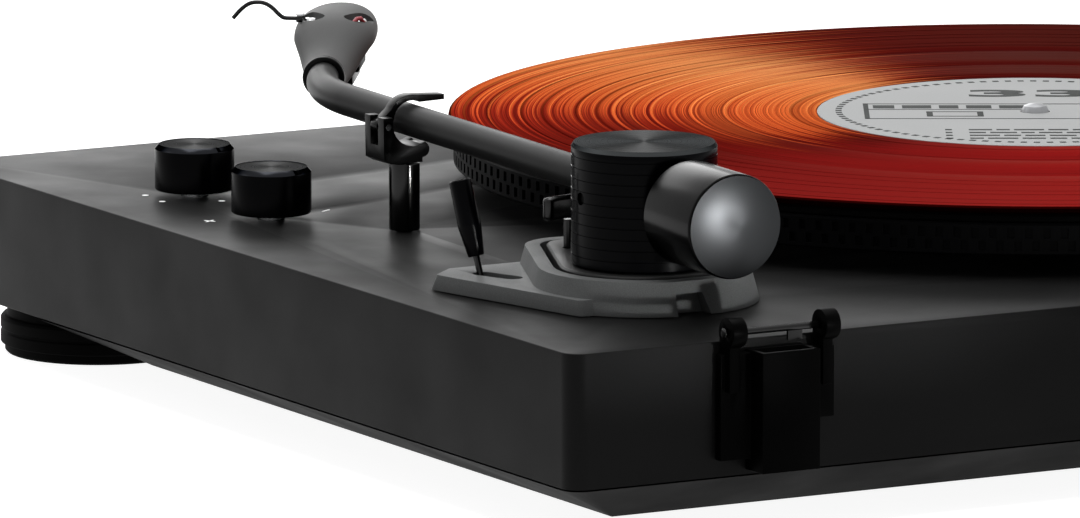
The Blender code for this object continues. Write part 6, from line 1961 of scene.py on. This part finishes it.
def aim(lamp: bpy.types.Light, azimuth: float, elevation: float, distance: float,
        target: Place) -> bpy.types.Object:
    """Stand a lamp at a distance and point it at a target.

    Args:
        lamp: The lamp.
        azimuth: Its direction from the target in degrees, from +X towards +Y.
        elevation: Its height in degrees.
        distance: How far off it stands.
        target: What it points at.

    Returns:
        The lamp's object.
    """
    holder = linked(lamp.name, lamp)
    a, e = math.radians(azimuth), math.radians(elevation)
    away = Vector((math.cos(a) * math.cos(e), math.sin(a) * math.cos(e), math.sin(e)))
    holder.location = Vector(target) + away * distance
    holder.rotation_euler = (-away).to_track_quat("-Z", "Y").to_euler()
    return holder


@dataclass(frozen=True)
class Panel:
    """A soft box: an area lamp at an azimuth and height about the object."""

    name: str
    azimuth: float
    elevation: float
    distance: float
    size: Point
    power: float
    target: Place = (0.05, 0.0, 0.06)

    def build(self) -> None:
        """Set up the lamp, out of the camera's sight."""
        lamp = bpy.data.lights.new(self.name, "AREA")
        lamp.shape, lamp.size, lamp.size_y = "RECTANGLE", *self.size
        lamp.energy = self.power
        holder = aim(lamp, self.azimuth, self.elevation, self.distance, self.target)
        holder.visible_camera = False


@dataclass(frozen=True)
class Spot:
    """A narrow lamp that gives the dome of the counterweight its highlight."""

    azimuth: float = 105.0
    elevation: float = -2.5
    distance: float = 1.2
    cone: float = 2.8
    blend: float = 0.6
    radius: float = 0.06
    power: float = 380.0
    target: Place = (0.1558, 0.147, 0.0735)

    def build(self) -> None:
        """Aim the lamp at the dome."""
        lamp = bpy.data.lights.new("dome_spot", "SPOT")
        lamp.energy, lamp.spot_size = self.power, math.radians(self.cone)
        lamp.spot_blend, lamp.shadow_soft_size = self.blend, self.radius
        aim(lamp, self.azimuth, self.elevation, self.distance, self.target)


@dataclass
class Studio:
    """A white floor and surroundings, soft boxes, and the camera at the photograph's angle."""

    camera: Place = (1.73303, 2.86570, 0.59727)
    look: Place = (-0.4818, -0.8602, -0.1671)
    sensor: float = 36.0
    clip: Point = (0.1, 200.0)
    lens: float = 13245.34 / 1080 * 36
    floor_half: float = 60.0
    floor_colour: str = "#a8a8a8"
    floor_roughness: float = 0.8
    floor_glow: float = 0.92
    world_levels: Point = (0.22, 1.0)
    panels: tuple[Panel, ...] = (
        Panel("rear_left_panel", -96.0, 20.0, 3.0, (2.4, 1.6), 34.0),
        Panel("left_panel", -28.0, 24.0, 2.4, (1.0, 1.2), 4.0),
        Panel("top_panel", -90.0, 84.0, 2.4, (2.4, 2.0), 80.0),
    )
    spot: Spot = Spot()

    def build(self) -> None:
        """Set up the floor, the world, the lamps and the camera."""
        self.build_floor()
        self.build_world()
        for lamp in (*self.panels, self.spot):
            lamp.build()
        data = bpy.data.cameras.new("camera")
        data.sensor_width, data.lens = self.sensor, self.lens
        data.clip_start, data.clip_end = self.clip
        holder = linked("camera", data)
        holder.location = self.camera
        holder.rotation_euler = Vector(self.look).to_track_quat("-Z", "Y").to_euler()
        bpy.context.scene.camera = holder
        bpy.context.scene.view_settings.view_transform = "Standard"

    def build_floor(self) -> None:
        """Lay a wide white floor that takes the object's shadow."""
        half = self.floor_half
        mesh = bpy.data.meshes.new("floor")
        mesh.from_pydata([(-half, -half, 0), (half, -half, 0), (half, half, 0), (-half, half, 0)],
                         [], [(0, 1, 2, 3)])
        surface = Surface("floor_white")
        glow = surface.math("MULTIPLY", surface.shown_background(), self.floor_glow)
        mesh.materials.append(surface.finished({
            "Base Color": linear(self.floor_colour), "Roughness": self.floor_roughness,
            "Emission Color": (1.0, 1.0, 1.0, 1.0), "Emission Strength": glow}))
        linked("floor", mesh)

    def build_world(self) -> None:
        """Make the world white to the camera, and a dim even grey to everything else."""
        world = bpy.data.worlds.new("studio")
        bpy.context.scene.world = world
        world.use_nodes = True
        graph = Graph(world.node_tree)
        level = graph.remap(graph.shown_background(), (0.0, 1.0), self.world_levels)
        graph.feed(world.node_tree.nodes["Background"], {
            "Color": (1.0, 1.0, 1.0, 1.0), "Strength": level})


def main() -> None:
    """Build every sub-assembly in order."""
    logging.basicConfig(level=logging.INFO, format="%(message)s")
    paint = Paint()
    repeat = Repeater()
    Studio().build()
    Plinth().build(paint)
    Platter().build(paint, repeat)
    Record().build(paint, repeat)
    Knob("selector", Body.SELECTOR, (0.1786, -0.09005)).build(paint)
    Knob("pitch", Body.PITCH, (0.1786, -0.04845)).build(paint)
    for piece in (PivotDrum(), ArmTube(), Headshell(), BalanceWeight(), ArmBase(), ArmRest(),
                  CueLift(), CoverHinges(), RearPanel()):
        piece.build(paint)


if __name__ == "__main__":
    main()
